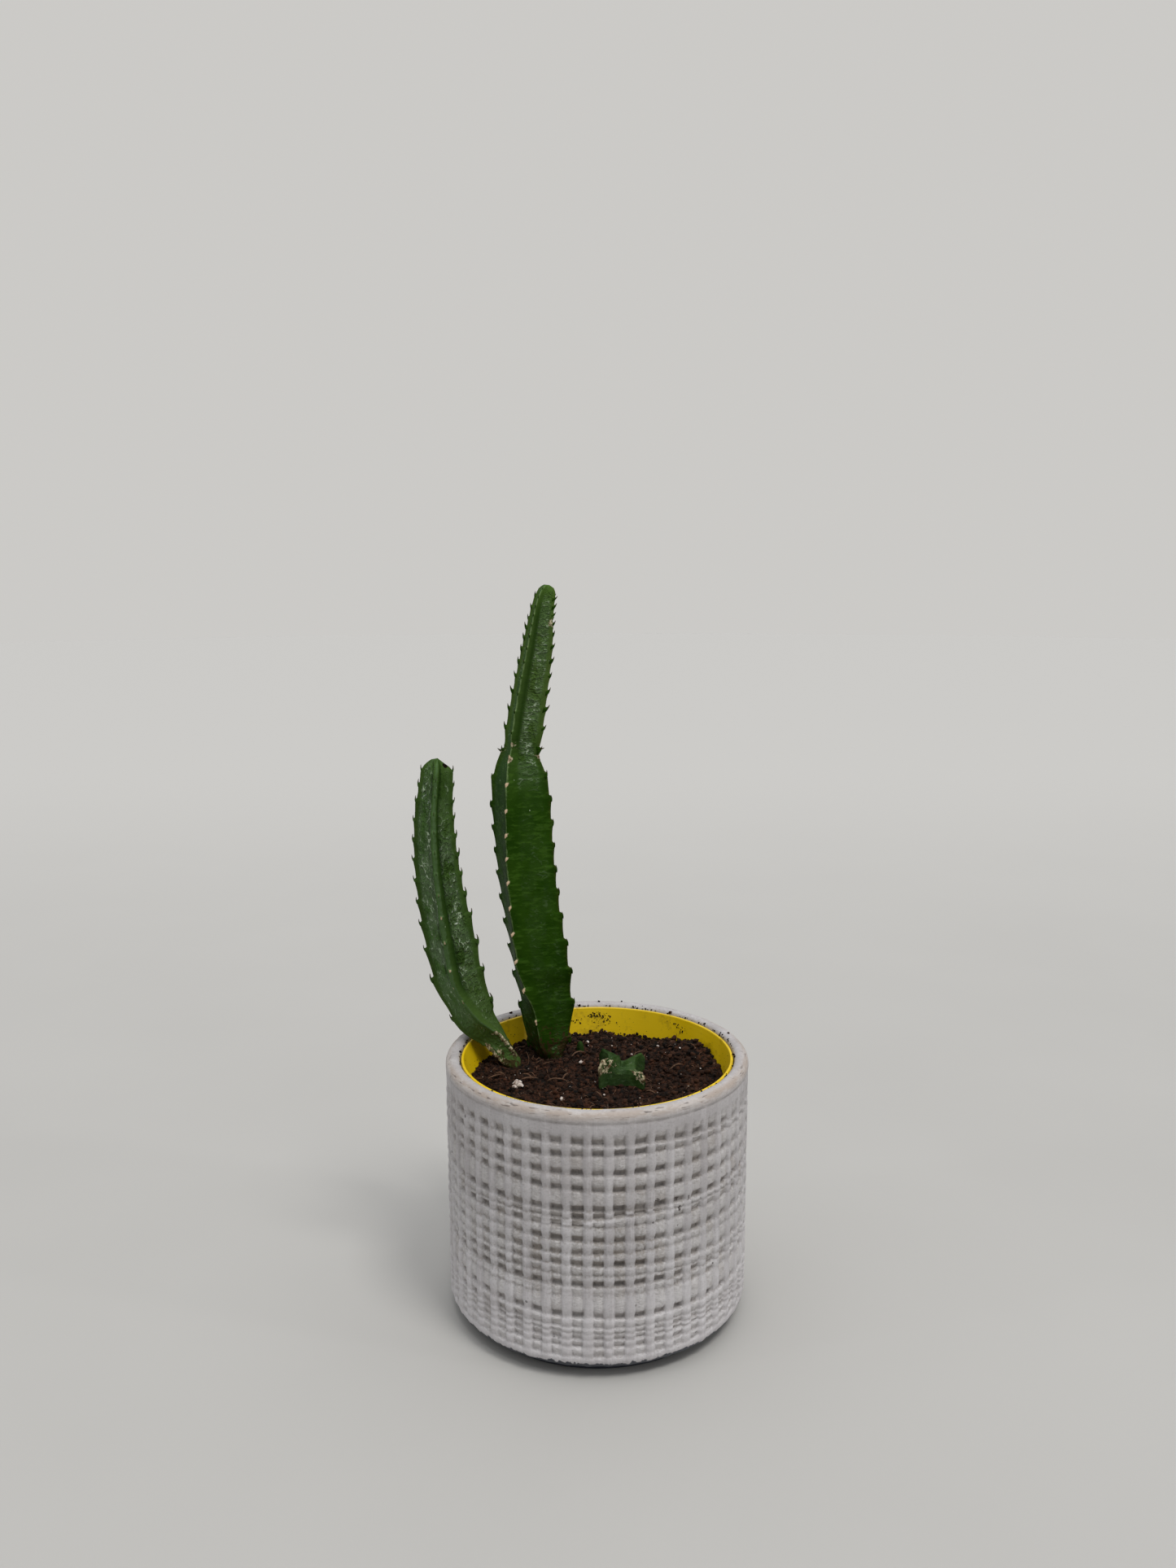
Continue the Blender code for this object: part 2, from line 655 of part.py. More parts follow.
def make_nub(finish, parent):
    """The small pointed tip of a buried cutting."""
    bm = bmesh.new()
    outline = (
        (NUB_RADIUS * 0.6, -NUB_DEPTH),
        (NUB_RADIUS, -NUB_DEPTH + 0.0008),
        (NUB_RADIUS, 0.0018),
        (NUB_RADIUS * 0.7, NUB_HEIGHT - 0.0010),
    )
    rings = [round_ring(bm, NUB_SIDES, radius, height) for radius, height in outline]
    join_all(bm, rings)
    close(bm, rings[0], (0.0, 0.0, -NUB_DEPTH))
    close(bm, rings[-1], (0.0, 0.0, NUB_HEIGHT))
    return piece("buried_tip", bm, finish, NUB_ENTRY, parent)


def main():
    for leftover in list(bpy.data.objects):
        bpy.data.objects.remove(leftover)
    whole = bpy.data.objects.new("potted_plant", None)
    bpy.context.scene.collection.objects.link(whole)
    white = material("white_matte_pot", (0.56, 0.56, 0.58), 0.75)
    yellow = material("yellow_plastic", (0.62, 0.42, 0.01), 0.40)
    earth = material("dark_soil", (0.030, 0.018, 0.012), 0.95)
    green = material("green_stem", (0.045, 0.120, 0.030), 0.45)
    make_cover_pot(white, whole)
    make_nursery_pot(yellow, whole)
    make_soil(earth, whole)
    tall_teeth = (TALL_PITCH, TALL_FIRST_TOOTH, TALL_OTHER_PAIR)
    tall_looks = (TALL_HOLLOWS, TALL_SWING, TALL_SLIPS)
    tall = (TALL_ENTRY, TALL_PLUG_RADIUS, TALL_STATIONS, tall_looks, tall_teeth)
    make_stem("stem_tall", *tall, green, whole)
    short_teeth = (SHORT_PITCH, SHORT_FIRST_TOOTH, SHORT_OTHER_PAIR)
    short_looks = (SHORT_HOLLOWS, SHORT_SWING, SHORT_SLIPS)
    short = (SHORT_ENTRY, SHORT_PLUG_RADIUS, SHORT_STATIONS, short_looks, short_teeth)
    make_stem("stem_short", *short, green, whole)
    make_stub(green, whole)
    make_nub(green, whole)


main()
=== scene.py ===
"""The looks of a four-ribbed succulent with two stems and a cutting, in potting mix, in a thin
yellow nursery pot that stands inside a white cover pot with a woven relief. Metres, +Z up. The
origin is the centre of the cover pot's base. +X is the right-hand side and -Y the front."""

import itertools
import math
import random

import bmesh
import bpy
from mathutils import Matrix, Vector, noise


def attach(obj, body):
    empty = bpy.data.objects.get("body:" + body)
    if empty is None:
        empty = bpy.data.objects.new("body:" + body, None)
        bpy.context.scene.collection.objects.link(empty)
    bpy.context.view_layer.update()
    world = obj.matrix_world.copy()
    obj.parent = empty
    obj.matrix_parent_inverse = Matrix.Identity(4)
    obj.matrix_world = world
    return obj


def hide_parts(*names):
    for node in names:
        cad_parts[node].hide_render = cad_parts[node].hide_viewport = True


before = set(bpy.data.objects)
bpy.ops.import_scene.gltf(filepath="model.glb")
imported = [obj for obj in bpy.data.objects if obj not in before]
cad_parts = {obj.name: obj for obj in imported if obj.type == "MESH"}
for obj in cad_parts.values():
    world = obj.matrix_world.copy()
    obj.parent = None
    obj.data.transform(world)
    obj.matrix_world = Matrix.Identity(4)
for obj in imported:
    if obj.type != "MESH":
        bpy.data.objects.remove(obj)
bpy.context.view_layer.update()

MM = 0.001

# Cover pot, as in the solids
POT_RADIUS = 0.0700
POT_HEIGHT = 0.1216
POT_BORE = 0.0632
POT_FLOOR = 0.0100
FOOT_RADIUS = 0.0604
FOOT_HEIGHT = 0.0036
CORNER_HEIGHT = 0.0105

# Woven relief: 48 columns of windows between flat cords, counted round the pot from the right
COLUMNS = 48
COLUMN_STEPS = (0.0, 0.14, 0.22, 0.28, 0.35, 0.50, 0.65, 0.72, 0.78, 0.86)
WALL_COLUMNS = [column + step for column in range(COLUMNS) for step in COLUMN_STEPS]
# Rows of dark grooves, which wander up and down. Knots of column, height in millimetres and depth
ROW_GROOVES = (
    ((27, 13.4, 0.15), (36, 13.2, 0.25), (45, 13.4, 0.15)),
    ((27, 17.8, 0.25), (35, 17.8, 0.45), (40, 17.0, 0.55), (45, 17.2, 0.45)),
    ((27, 21.2, 0.3), (35, 21.2, 0.55), (40, 21.0, 0.5), (45, 20.8, 0.35)),
    ((27, 23.8, 0.1), (31, 24.8, 0.45), (36, 24.0, 0.1), (41, 23.2, 0.45), (45, 23.0, 0.3)),
    ((27, 26.4, 0.45), (30, 27.2, 0.65), (33, 27.0, 0.4), (36, 26.6, 0.15), (45, 25.6, 0.1)),
    ((27, 33.2, 0.55), (31, 31.9, 0.65), (35, 31.2, 0.95), (38, 30.2, 1.15), (42, 30.0, 0.95),
     (45, 29.4, 0.65)),
    ((27, 41.2, 0.0), (38, 41.2, 0.0), (41, 41.0, 0.35), (45, 40.5, 0.35)),
    ((27, 45.8, 0.5), (33, 45.4, 0.85), (38, 45.1, 1.1), (41, 45.3, 0.6), (45, 45.0, 0.35)),
    ((27, 50.0, 0.3), (30, 50.8, 0.55), (33, 50.8, 0.3), (36, 50.4, 0.0), (45, 47.6, 0.0)),
    ((27, 55.6, 0.0), (31, 55.4, 0.2), (34, 55.2, 0.65), (37, 54.4, 1.0), (40, 53.0, 0.75), (45, 50.4, 0.45)),
    ((27, 60.3, 0.35), (31, 60.2, 0.5), (35, 60.0, 0.5), (38, 60.4, 0.05), (45, 59.4, 0.0)),
    ((27, 66.0, 0.0), (31, 66.8, 0.15), (34, 66.0, 0.9), (37, 65.2, 1.0), (40, 64.2, 0.85), (45, 64.0, 0.7)),
    ((27, 71.2, 0.45), (30, 72.0, 0.85), (34, 72.4, 0.45), (37, 72.4, 0.0), (42, 73.0, 0.5),
     (45, 72.5, 0.45)),
    ((27, 75.8, 0.0), (33, 76.4, 0.3), (35, 75.8, 0.75), (38, 77.0, 0.7), (40, 76.8, 0.0), (45, 76.2, 0.0)),
    ((27, 79.8, 0.5), (30, 79.6, 0.85), (34, 79.4, 0.85), (38, 79.3, 1.0), (45, 79.0, 0.65)),
    ((27, 92.3, 0.4), (30, 91.0, 0.65), (34, 88.8, 0.9), (37, 87.8, 1.0), (45, 86.8, 0.55)),
    ((27, 96.6, 0.45), (33, 96.0, 0.75), (35, 95.4, 1.0), (39, 95.2, 1.0), (45, 94.4, 0.6)),
    ((27, 103.2, 0.6), (33, 103.2, 0.85), (36, 104.0, 1.0), (41, 103.8, 0.5), (45, 102.8, 0.35)),
    ((27, 109.3, 0.55), (34, 109.3, 0.85), (38, 108.3, 0.95), (41, 107.3, 0.9), (45, 105.8, 0.65)),
)
# Folds, where the wall below stands proud of the wall above. Knots of column, height and size
FOLDS = (
    ((24, 42.5, 0.2), (30, 42.2, 0.45), (34, 40.8, 0.5), (40, 40.2, 0.45), (44, 40.0, 0.0), (60, 43.0, 0.4)),
    ((24, 71.0, 0.0), (32, 72.0, 0.1), (34, 72.6, 0.4), (39, 76.0, 0.4), (42, 76.4, 0.0), (56, 73.0, 0.35)),
    ((24, 60.0, 0.0), (36, 58.4, 0.1), (38, 59.0, 0.3), (41, 59.2, 0.3), (45, 60.0, 0.0), (62, 60.0, 0.0)),
)
# Where the windows' painted shade is heaviest, at the front: column, width in columns, two heights between
# which it grows, how much
FRONT_SHADE = (35.0, 6.0, 0.030, 0.055, 0.26)
# painted shade in the windows near the rows, where they sink in
WINDOW_SHADE = 0.30
# painted shade on the cords where the rows cross and set them back
CORD_SHADE = 0.30
FOLD_SHADE = 450.0  # how much painted shade the wall gets above a fold, for each metre of setback
FOLD_FADE = 0.0110  # height above a fold over which its setback fades
# Dark stains: column, height in millimetres, and how wide and tall
STAINS = (
    (38.96, 110.9, 0.5, 0.5), (40.2, 97.9, 0.35, 0.8), (40.5, 78.4, 0.6, 1.4), (38.8, 80.2, 1.2, 1.6),
    (38.6, 76.6, 0.8, 0.8), (39.9, 79.0, 1.0, 1.6), (40.0, 74.5, 0.6, 1.6), (39.9, 67.0, 0.6, 1.8),
    (41.4, 113.5, 0.4, 0.5), (34.9, 112.4, 0.4, 0.5), (36.9, 100.6, 0.4, 0.4),
)
WINDOW_DEPTHS = (0.45, 1.15)  # how much the depth of a groove differs from window to window
WINDOW_HALF = 0.275  # half the width of a window, in columns
GROOVE_DEPTH = 0.0024
ROW_DROP = 0.0017  # how far the ledge of a groove lies under the middle of its dark band
PILLOW_DEPTH = 0.00085
CORD_DIP = 0.00040  # how far the cords are set back where a row crosses them
CORD_DROOP = 0.00028  # how far the cords slope down to their flanks
CREASE_DEPTH = 0.00060
LUMP_DEPTHS = (0.00008, 0.00022)  # fine lumps on the cords, and how much more in the windows
LEDGE = 0.0007  # height of the sharp step under each groove
HOLLOW_RISE = 0.0032  # height over which a groove comes back out to the bulge above
RIM_CREASE = 0.1165
RIM_CREASE_DEPTH = 0.00028
RELIEF_TOP = (0.1100, 0.1122)
RELIEF_FOOT = (0.0085, 0.0125)
WALL_START = FOOT_HEIGHT + 0.0006
WALL_END = POT_HEIGHT - 0.0050
POT_LEVEL_STEP = 0.00068
POT_SKIN = 0.00012  # how far the highest cords stay inside the solid's outline
# The rounded rim: how far in from the wall or out from the bore, the height, and how worn
OUTER_RIM = (
    (0.00022, 0.1172, 0.10), (0.00020, 0.1180, 0.25), (0.00025, 0.1187, 0.45), (0.00050, 0.1196, 0.75),
    (0.00100, 0.1204, 1.00), (0.00170, 0.12095, 0.90), (0.00240, 0.12130, 0.60), (0.00310, 0.12150, 0.30),
)
INNER_RIM = (
    (0.00280, 0.12155, 0.15), (0.00190, 0.12145, 0.10), (0.00110, 0.12115, 0.10), (0.00045, 0.12065, 0.15),
    (0.00010, 0.11990, 0.10), (0.0, 0.11850, 0.05), (0.0, 0.0600, 0.0), (0.0, POT_FLOOR + 0.0020, 0.0),
    (-0.0020, POT_FLOOR, 0.0),
)

# Nursery pot
NURSERY_FOOT = POT_FLOOR + 0.0003
NURSERY_TOP = 0.1201
NURSERY_LIP_RADIUS = 0.0627
NURSERY_LIP_HEIGHT = 0.0070
NURSERY_LIP_THICKNESS = 0.0014
NURSERY_WALL_TOP_RADIUS = 0.0603
NURSERY_BASE_RADIUS = 0.0440
NURSERY_THICKNESS = 0.0011
NURSERY_SIDES = 240
DRAIN_HOLES = 5
DRAIN_RADIUS = 0.0045
DRAIN_CIRCLE = 0.0270

# Potting mix
SOIL_LEVEL = 0.1070
SOIL_GAP = 0.0003
SOIL_ROUGHNESS = 0.0013
MOUND_PLACE = (0.046, 0.026)
MOUND_HEIGHT = 0.0055
MOUND_SPREAD = 0.018
DIP_DEPTH = 0.0018
SOIL_SIDES = 380
SOIL_RINGS = 112
SOIL_REACH = 0.0583  # how far from the middle loose crumbs lie
PLUG_DEPTH = 0.022
GRAINS = ((300.0, 0.0016), (620.0, 0.0008))  # how many to the metre and how tall
SOIL_COLOURS = ((11, 6, 3), (68, 42, 28), (84, 48, 28))
FIBRE_COLOURS = ((48, 34, 26), (132, 100, 78), (112, 74, 54))

# Loose crumbs and grit: how many of each kind, and the sizes between which they are drawn
LUMP_COUNT = 260
LUMP_SIZES = (0.0012, 0.0024)
CRUMB_COUNT = 3600
FINE_CRUMB_COUNT = 9000
FINE_CRUMB_SIZES = (0.00018, 0.00045)
WALL_HEAP_COUNT = 700
GAP_CRUMB_COUNT = 150
GAP_CRUMB_SIZES = (0.00018, 0.00050)
GAP_RADIUS = 0.0633
GAP_SPREAD = 0.00035
WALL_CRUMB_SIZES = (0.00018, 0.00055)
WALL_DUST_COUNT = 240
WALL_DUST_SIZES = (0.00010, 0.00026)
GRIT_COUNT = 90
GRIT_SIZES = (0.00016, 0.00042)
KERNEL_SIZE = 0.0005  # a perlite grain over this size has a second lump beside it
FIBRE_COUNT = 200
FIBRE_STEPS = 6
FIBRE_REACH = 0.0530
FIBRE_THICKNESSES = (0.00010, 0.00030)
SLIVER_THICKNESS = 0.00055

# Starts of the random draws
WINDOW_SEED = 8
CRUMB_SEED = 11
HEAP_SEED = 12
FIBRE_SEED = 13
PERLITE_SEED = 14
STRAY_SEED = 15
TALL_SEED = 21
SHORT_SEED = 22

# Bark slivers: x and y in millimetres, heading in radians, length in millimetres
SLIVERS = (
    (-50.4, -2.2, 0.5, 6.5), (-43.0, 1.1, 2.6, 5.0), (-35.1, -5.0, 0.3, 8.5), (-29.6, -3.3, 2.4, 6.5),
    (-23.1, -6.0, 0.1, 9.0), (-16.0, -3.5, 1.0, 5.5), (-12.0, 24.0, 0.9, 9.0), (26.0, -20.0, 2.2, 6.0),
    (34.0, 6.0, 0.4, 7.0),
)
# Perlite grains, and a clump of them: x, y, height over the soil and size in millimetres
PERLITE = (
    (-7.5, 18.8, 0.0, 1.25), (-4.4, 46.9, 0.0, 0.75), (30.0, 34.2, 0.0, 0.60), (-16.0, -23.9, 0.0, 1.05),
    (7.7, 38.0, 0.0, 0.55), (17.0, 27.5, 0.0, 0.60), (40.1, 24.5, 0.0, 0.55), (3.0, -17.1, 0.0, 0.60),
    (-12.5, -11.1, 0.0, 0.70), (-36.4, -9.0, 0.6, 2.0), (-37.8, -9.6, 0.2, 1.3), (-35.0, -9.6, 0.3, 1.3),
    (-37.0, -8.6, 1.7, 1.2), (-35.6, -8.8, 1.6, 1.1), (-38.1, -9.0, 1.2, 0.9),
)
# Crumbs on the rim: x, y and size in millimetres
RIM_CRUMBS = (
    (-8.5, 62.9, 0.8), (1.5, 66.0, 0.7), (13.2, 65.8, 0.6), (18.9, 60.9, 0.6), (37.4, 51.8, 1.2),
    (53.2, 35.6, 0.8), (63.1, 20.5, 0.7), (62.4, 14.5, 0.8), (62.6, -3.6, 0.6), (-63.3, 0.4, 0.8),
    (-62.3, -15.2, 0.7), (-42.7, 49.7, 0.9),
)
RIM_CRUMB_LEVEL = 0.1217
LIP_CRUMB_LEVEL = 0.1207
# Crumbs that stick to the back of the yellow wall: x and z in millimetres, how many, how far spread
WALL_CRUMBS = (
    (1.1, 115.4, 30, 2.6), (-1.8, 116.6, 14, 2.0), (5.2, 113.9, 26, 3.0), (-11.0, 113.4, 12, 1.6),
    (40.3, 115.8, 8, 1.4), (38.0, 116.3, 6, 1.2), (43.3, 114.5, 10, 1.6),
)

# Stems. Their ribs are counted round them from the right, so the left face with its painted bluish sheen
# follows SIDE_RIB
STEM_MARKS = ("height", "furrow", "wrinkled", "crest", "scar", "cork", "dry", "scab", "hook", "painted_sheen")
RIBS = 4
SIDE_RIB = 2
FRONT_RIB = 3
QUARTER = 90.0
TIP_ROUNDING = 0.10  # how much fuller the section gets over the last TIP_LENGTH
TIP_LENGTH = 0.0050
TIP_CROWN = 0.0006
BASE_LENGTH = 0.0060  # from the soil up to where the ribs are full
NOTCH_RISE = 0.0011
EDGE_REACH = 7.3  # degrees from a crest over which its saw-toothed edge fades into the face
FURROW_FADE = 0.08  # share of the stem's length over which a furrow starts and ends
FOLD_HEIGHT = 0.00055
SWELLING = 0.00018  # of the skin under each tooth
CRUST_HEIGHT = 0.0005
CRUST_FADES = (2.0, 3.0)  # millimetres over which a crust starts and ends
SMOOTH_STEPS = 12
SLIP_START = 0.020  # from the soil up to where a rib's teeth have slipped by their full amount
SLIP_END = 0.012  # the same down from the tip
LEVEL_STEP = 0.0004
CROWN_BACK = 0.0018  # how far under the tip the last teeth stand
HOOK_TILT = 42.0  # degrees by which an upright tooth is turned up
HOOK_STEPS = 8
HOOK_SIDES = 8
SPIKE_SIZE = 0.0024  # of the long teeth at the waist
SPIKE_LIFT = -1.3
# Degrees from one crest to the next at which the skin has its points
HALF_TURNS = (0.0, 1.0, 2.2, 3.8, 6.0, 9.0, 13.0, 18.0, 24.0, 31.0, 38.0)
TURNS = HALF_TURNS + (45.0,) + tuple(QUARTER - turn for turn in HALF_TURNS[:0:-1])

TALL_ENTRY = (-0.0225, 0.0320, SOIL_LEVEL)
TALL_PLUG_RADIUS = 0.0060
# Each station is x, y, z from the entry, the ribs' reach and their turn in degrees
TALL_STATIONS = (
    (0.0000, 0.000, 0.0000, 0.0060, -14),
    (-0.0010, 0.000, 0.0075, 0.0108, -17),
    (-0.0016, 0.000, 0.0146, 0.0124, -17),
    (-0.0022, 0.000, 0.0291, 0.0144, -25),
    (-0.0047, 0.000, 0.0476, 0.0174, -35),
    (-0.0096, 0.000, 0.0800, 0.0166, -31),
    (-0.0118, 0.000, 0.1040, 0.0162, -28),
    (-0.0132, 0.000, 0.1290, 0.0154, -23),
    (-0.0133, 0.000, 0.1410, 0.0133, -24),
    (-0.0126, 0.000, 0.1500, 0.0097, -28),
    (-0.0112, 0.000, 0.1590, 0.0102, -30),
    (-0.0081, 0.000, 0.1777, 0.0095, -31),
    (-0.0048, 0.000, 0.1966, 0.0084, -31),
    (-0.0027, 0.000, 0.2115, 0.0066, -31),
    (-0.0013, 0.000, 0.2190, 0.0057, -31),
    (0.0003, 0.000, 0.2242, 0.0044, -31),
    (0.0010, 0.000, 0.2262, 0.0027, -31),
)
# Distance between the teeth of a pair of ribs, along the stem
TALL_PITCH = (
    (0.06, 0.0198), (0.15, 0.0146), (0.28, 0.0128), (0.34, 0.0116), (0.48, 0.0110), (0.58, 0.0124),
    (0.65, 0.0114), (0.70, 0.0094), (0.78, 0.0077), (0.86, 0.0062), (0.92, 0.0043), (1.00, 0.0036),
)
TALL_FIRST_TOOTH = 0.0089
TALL_OTHER_PAIR = 0.62  # how far behind the other pair's teeth stand, as a share of the distance
TALL_SLIPS = (0.0, 0.0, 0.0034, 0.0)  # how far down the teeth of each rib have slipped
# How full the section is between the ribs, and how far the saw-toothed edges swing, along the stem
TALL_HOLLOWS = (
    (0.05, 0.72), (0.15, 0.69), (0.45, 0.67), (0.60, 0.63), (0.66, 0.58), (0.75, 0.55), (1.00, 0.54),
)
TALL_SWING = ((0.0, 0.15), (0.25, 0.12), (0.42, 0.08), (1.0, 0.08))

SHORT_ENTRY = (-0.0402, 0.0200, SOIL_LEVEL)
SHORT_PLUG_RADIUS = 0.0042
SHORT_STATIONS = (
    (0.0000, 0.0000, 0.0000, 0.0042, 60),
    (-0.0018, -0.0003, 0.0030, 0.0052, 60),
    (-0.0038, -0.0006, 0.0060, 0.0058, 60),
    (-0.0060, -0.0012, 0.0095, 0.0062, 58),
    (-0.0081, -0.0018, 0.0130, 0.0065, 53),
    (-0.0106, -0.0026, 0.0165, 0.0070, 46),
    (-0.0131, -0.0034, 0.0195, 0.0078, 38),
    (-0.0156, -0.0040, 0.0226, 0.0089, 28),
    (-0.0174, -0.0044, 0.0260, 0.0099, 18),
    (-0.0205, -0.0050, 0.0335, 0.0109, 6),
    (-0.0248, -0.0060, 0.0456, 0.0120, -3),
    (-0.0284, -0.0078, 0.0663, 0.0120, -2),
    (-0.0315, -0.0100, 0.0861, 0.0109, 3),
    (-0.0333, -0.0116, 0.1056, 0.0099, 5),
    (-0.0336, -0.0120, 0.1246, 0.0087, 6),
    (-0.0326, -0.0120, 0.1350, 0.0078, 5),
    (-0.0318, -0.0120, 0.1435, 0.0071, 4),
    (-0.0315, -0.0120, 0.1472, 0.0054, 4),
    (-0.0314, -0.0120, 0.1495, 0.0028, 4),
)
SHORT_PITCH = (
    (0.23, 0.0190), (0.35, 0.0142), (0.45, 0.0132), (0.53, 0.0105),
    (0.66, 0.0095), (0.78, 0.0087), (0.90, 0.0072), (1.00, 0.0062),
)
SHORT_FIRST_TOOTH = 0.0350
SHORT_OTHER_PAIR = 0.47
SHORT_SLIPS = (-0.0010, 0.0, 0.0, 0.0)
SHORT_HOLLOWS = ((0.10, 0.66), (0.30, 0.62), (0.60, 0.59), (1.00, 0.58))
SHORT_SWING = ((0.0, 0.10), (0.22, 0.15), (0.45, 0.11), (0.80, 0.07), (1.0, 0.06))

# Stub of a cutting, and the tip of another one
STUB_ENTRY = (0.0116, 0.0010, SOIL_LEVEL)
STUB_PLUG_RADIUS = 0.0060
STUB_REACH = 0.0150
STUB_TURN = 43.0
STUB_HOLLOW = 0.44
STUB_HEART = 0.0066
STUB_UNDERSIDE = -0.0008
STUB_RIB_TOPS = (0.0092, 0.0112, 0.0128, 0.0066)
STUB_FACE_ANGLE = 29.0  # degrees from a crest over which its top slopes to the heart's height
STUB_BEAD = 0.0012
STUB_STEPS = 22
STUB_TOP_RINGS = (0.93, 0.85, 0.74, 0.60, 0.44, 0.28, 0.13)
STUB_WORN = {2: 20.0, 3: 11.0}  # the ribs with corky tops, and how many degrees of cork
NUB_ENTRY = (-0.0080, 0.0360, SOIL_LEVEL)
NUB_RADIUS = 0.0018
NUB_HEIGHT = 0.0050
NUB_DEPTH = 0.0060
NUB_SIDES = 40
# From its foot up: the share of the radius, and the height
NUB_OUTLINE = (
    (0.6, -NUB_DEPTH), (1.0, -NUB_DEPTH + 0.0008), (1.0, 0.0), (0.97, 0.0018),
    (0.88, 0.0028), (0.70, 0.0038), (0.42, 0.0046), (0.20, 0.0049),
)

# What stands in the soil: its middle, its radius and how much wider the dip round it is
STANDING = (
    (TALL_ENTRY, TALL_PLUG_RADIUS, 0.0040),
    (SHORT_ENTRY, SHORT_PLUG_RADIUS, 0.0040),
    (STUB_ENTRY, STUB_PLUG_RADIUS, 0.0145),
    (NUB_ENTRY, NUB_RADIUS, 0.0020),
)
# Crumbs heaped round it: its middle, the radius of its foot and how many
HEAPS = (
    (TALL_ENTRY, 0.0068, 260),
    (SHORT_ENTRY, 0.0048, 150),
    (STUB_ENTRY, 0.0100, 260),
    (NUB_ENTRY, 0.0022, 40),
)

# Marks in millimetres: x, y, z, how wide and how strong
SHORT_CORK = (
    (-53.8, 11.0, 129.4, 1.6, 0.9), (-46.0, 14.0, 115.5, 1.8, 0.9),
    (-69.5, 1.8, 165.5, 0.9, 0.7), (-66.4, 4.8, 150.1, 1.1, 0.8),
)
SHORT_SCABS = ((-67.9, 7.0, 254.2, 1.7, 1.0),)
# Crusts on a rib's edge: the rib, from where to where along the stem in millimetres, how strong
TALL_CRUSTS = (
    (3, 145.0, 150.2, 1.0), (3, 151.6, 156.8, 1.0), (0, 147.0, 152.4, 1.0),
    (2, 147.6, 152.4, 0.7), (0, 209.2, 214.8, 0.9),
)
SHORT_CRUSTS = ((3, 2.0, 23.0, 1.0), (2, 1.5, 20.0, 0.9), (0, 2.0, 12.0, 0.6))
# Swellings and hollows of the tall stem's right face: x, y, z, how wide and how far out
TALL_DENTS = ((-24.0, 21.6, 153.9, 5.0, 0.9), (-18.6, 22.7, 143.4, 6.0, -1.2), (-12.0, 24.0, 134.0, 5.0, 0.5))

# How wrinkled the face after each rib is, along the stem
CALM_FACE = ((0.0, 0.25), (0.08, 0.1), (0.58, 0.06), (0.66, 0.5), (1.0, 0.4))
LEFT_FACE = ((0.0, 0.2), (0.6, 0.1), (0.8, 0.25), (1.0, 0.2))
UPPER_FACE = ((0.0, 0.25), (0.08, 0.1), (0.58, 0.06), (0.66, 1.0), (0.95, 1.0), (1.0, 0.3))
FULL_FACE = ((0.0, 0.2), (0.30, 0.5), (0.42, 1.0), (0.92, 1.0), (1.0, 0.4))
SPENT_FACE = ((0.0, 0.2), (0.30, 0.5), (0.42, 1.0), (0.74, 1.0), (0.84, 0.4), (1.0, 0.2))
# Radius in millimetres of the ribs' rounded crests, along the stem
THIN_BEAD = ((0.0, 0.9), (0.10, 0.7), (0.50, 0.5), (1.0, 0.5))
FRONT_BEAD = ((0.0, 0.7), (0.10, 0.45), (0.60, 0.42), (0.72, 0.8), (1.0, 0.6))
BROAD_BEAD = ((0.0, 0.8), (0.3, 0.9), (0.45, 1.15), (1.0, 1.5))

# Looks of the stems. A value for each rib, or pairs of the share of the stem's length and a value
TALL_LOOKS = {
    "beads": (THIN_BEAD, THIN_BEAD, THIN_BEAD, FRONT_BEAD),
    # the rib, degrees from its crest, width in degrees, depth in millimetres, from and to where
    "furrows": ((3, 13.0, 11.0, 0.08, 0.62, 1.01), (3, -14.0, 6.0, 0.2, 0.60, 1.01)),
    "wrinkled": (CALM_FACE, CALM_FACE, LEFT_FACE, UPPER_FACE),
    "smooth_band": 16.0,  # degrees to the right of the front crest that stay smooth
    # painted bluish sheen on the side face, along the stem
    "painted_sheen": ((0.0, 0.05), (0.5, 0.15), (0.62, 0.5), (0.8, 0.85), (1.0, 0.6)),
    "slanted": 0.0,  # millimetres by which the tip's right side lies lower
    "pale": (0.0, 0.1, 0.2, 0.75),  # pale crests, and how many degrees wide they are
    "pale_width": ((0.0, 1.6), (0.55, 1.5), (0.66, 3.0), (1.0, 5.0)),
    "scars": (0.25, 0.2, 0.2, 1.0),  # pale scars by the teeth, and how much of them along the stem
    "scarred": ((0.0, 0.5), (0.12, 0.9), (0.62, 1.0), (0.68, 0.35), (1.0, 0.2)),
    "dry": (0.3, 0.3, 0.2, 0.0),
    "crusts": TALL_CRUSTS,
    "cork": (),
    "scabs": (),
    "dents": TALL_DENTS,
    "swing": TALL_SWING,
    # the teeth: their size in millimetres, the share of it for each rib, how far they lean out, how tall
    # their fins are, and how far their feet are set in and down
    "hook": ((0.0, 2.6), (0.1, 2.0), (0.2, 1.5), (0.6, 1.6), (0.7, 1.95), (0.9, 1.9), (1.0, 1.5)),
    "hook_share": (1.0, 1.0, 1.0, 0.65),
    "lean": ((0.0, 0.6), (0.1, 0.5), (0.6, 0.5), (0.7, 1.0), (1.0, 0.9)),
    "fin": 1.0,
    "rooted": (0.30, 0.90),
    "crown": 0.8,  # size in millimetres of the teeth round the tip, and long ones at the waist
    "spikes": ((0, 0.0040), (2, -0.0004)),
    "waist": 257.0,
}
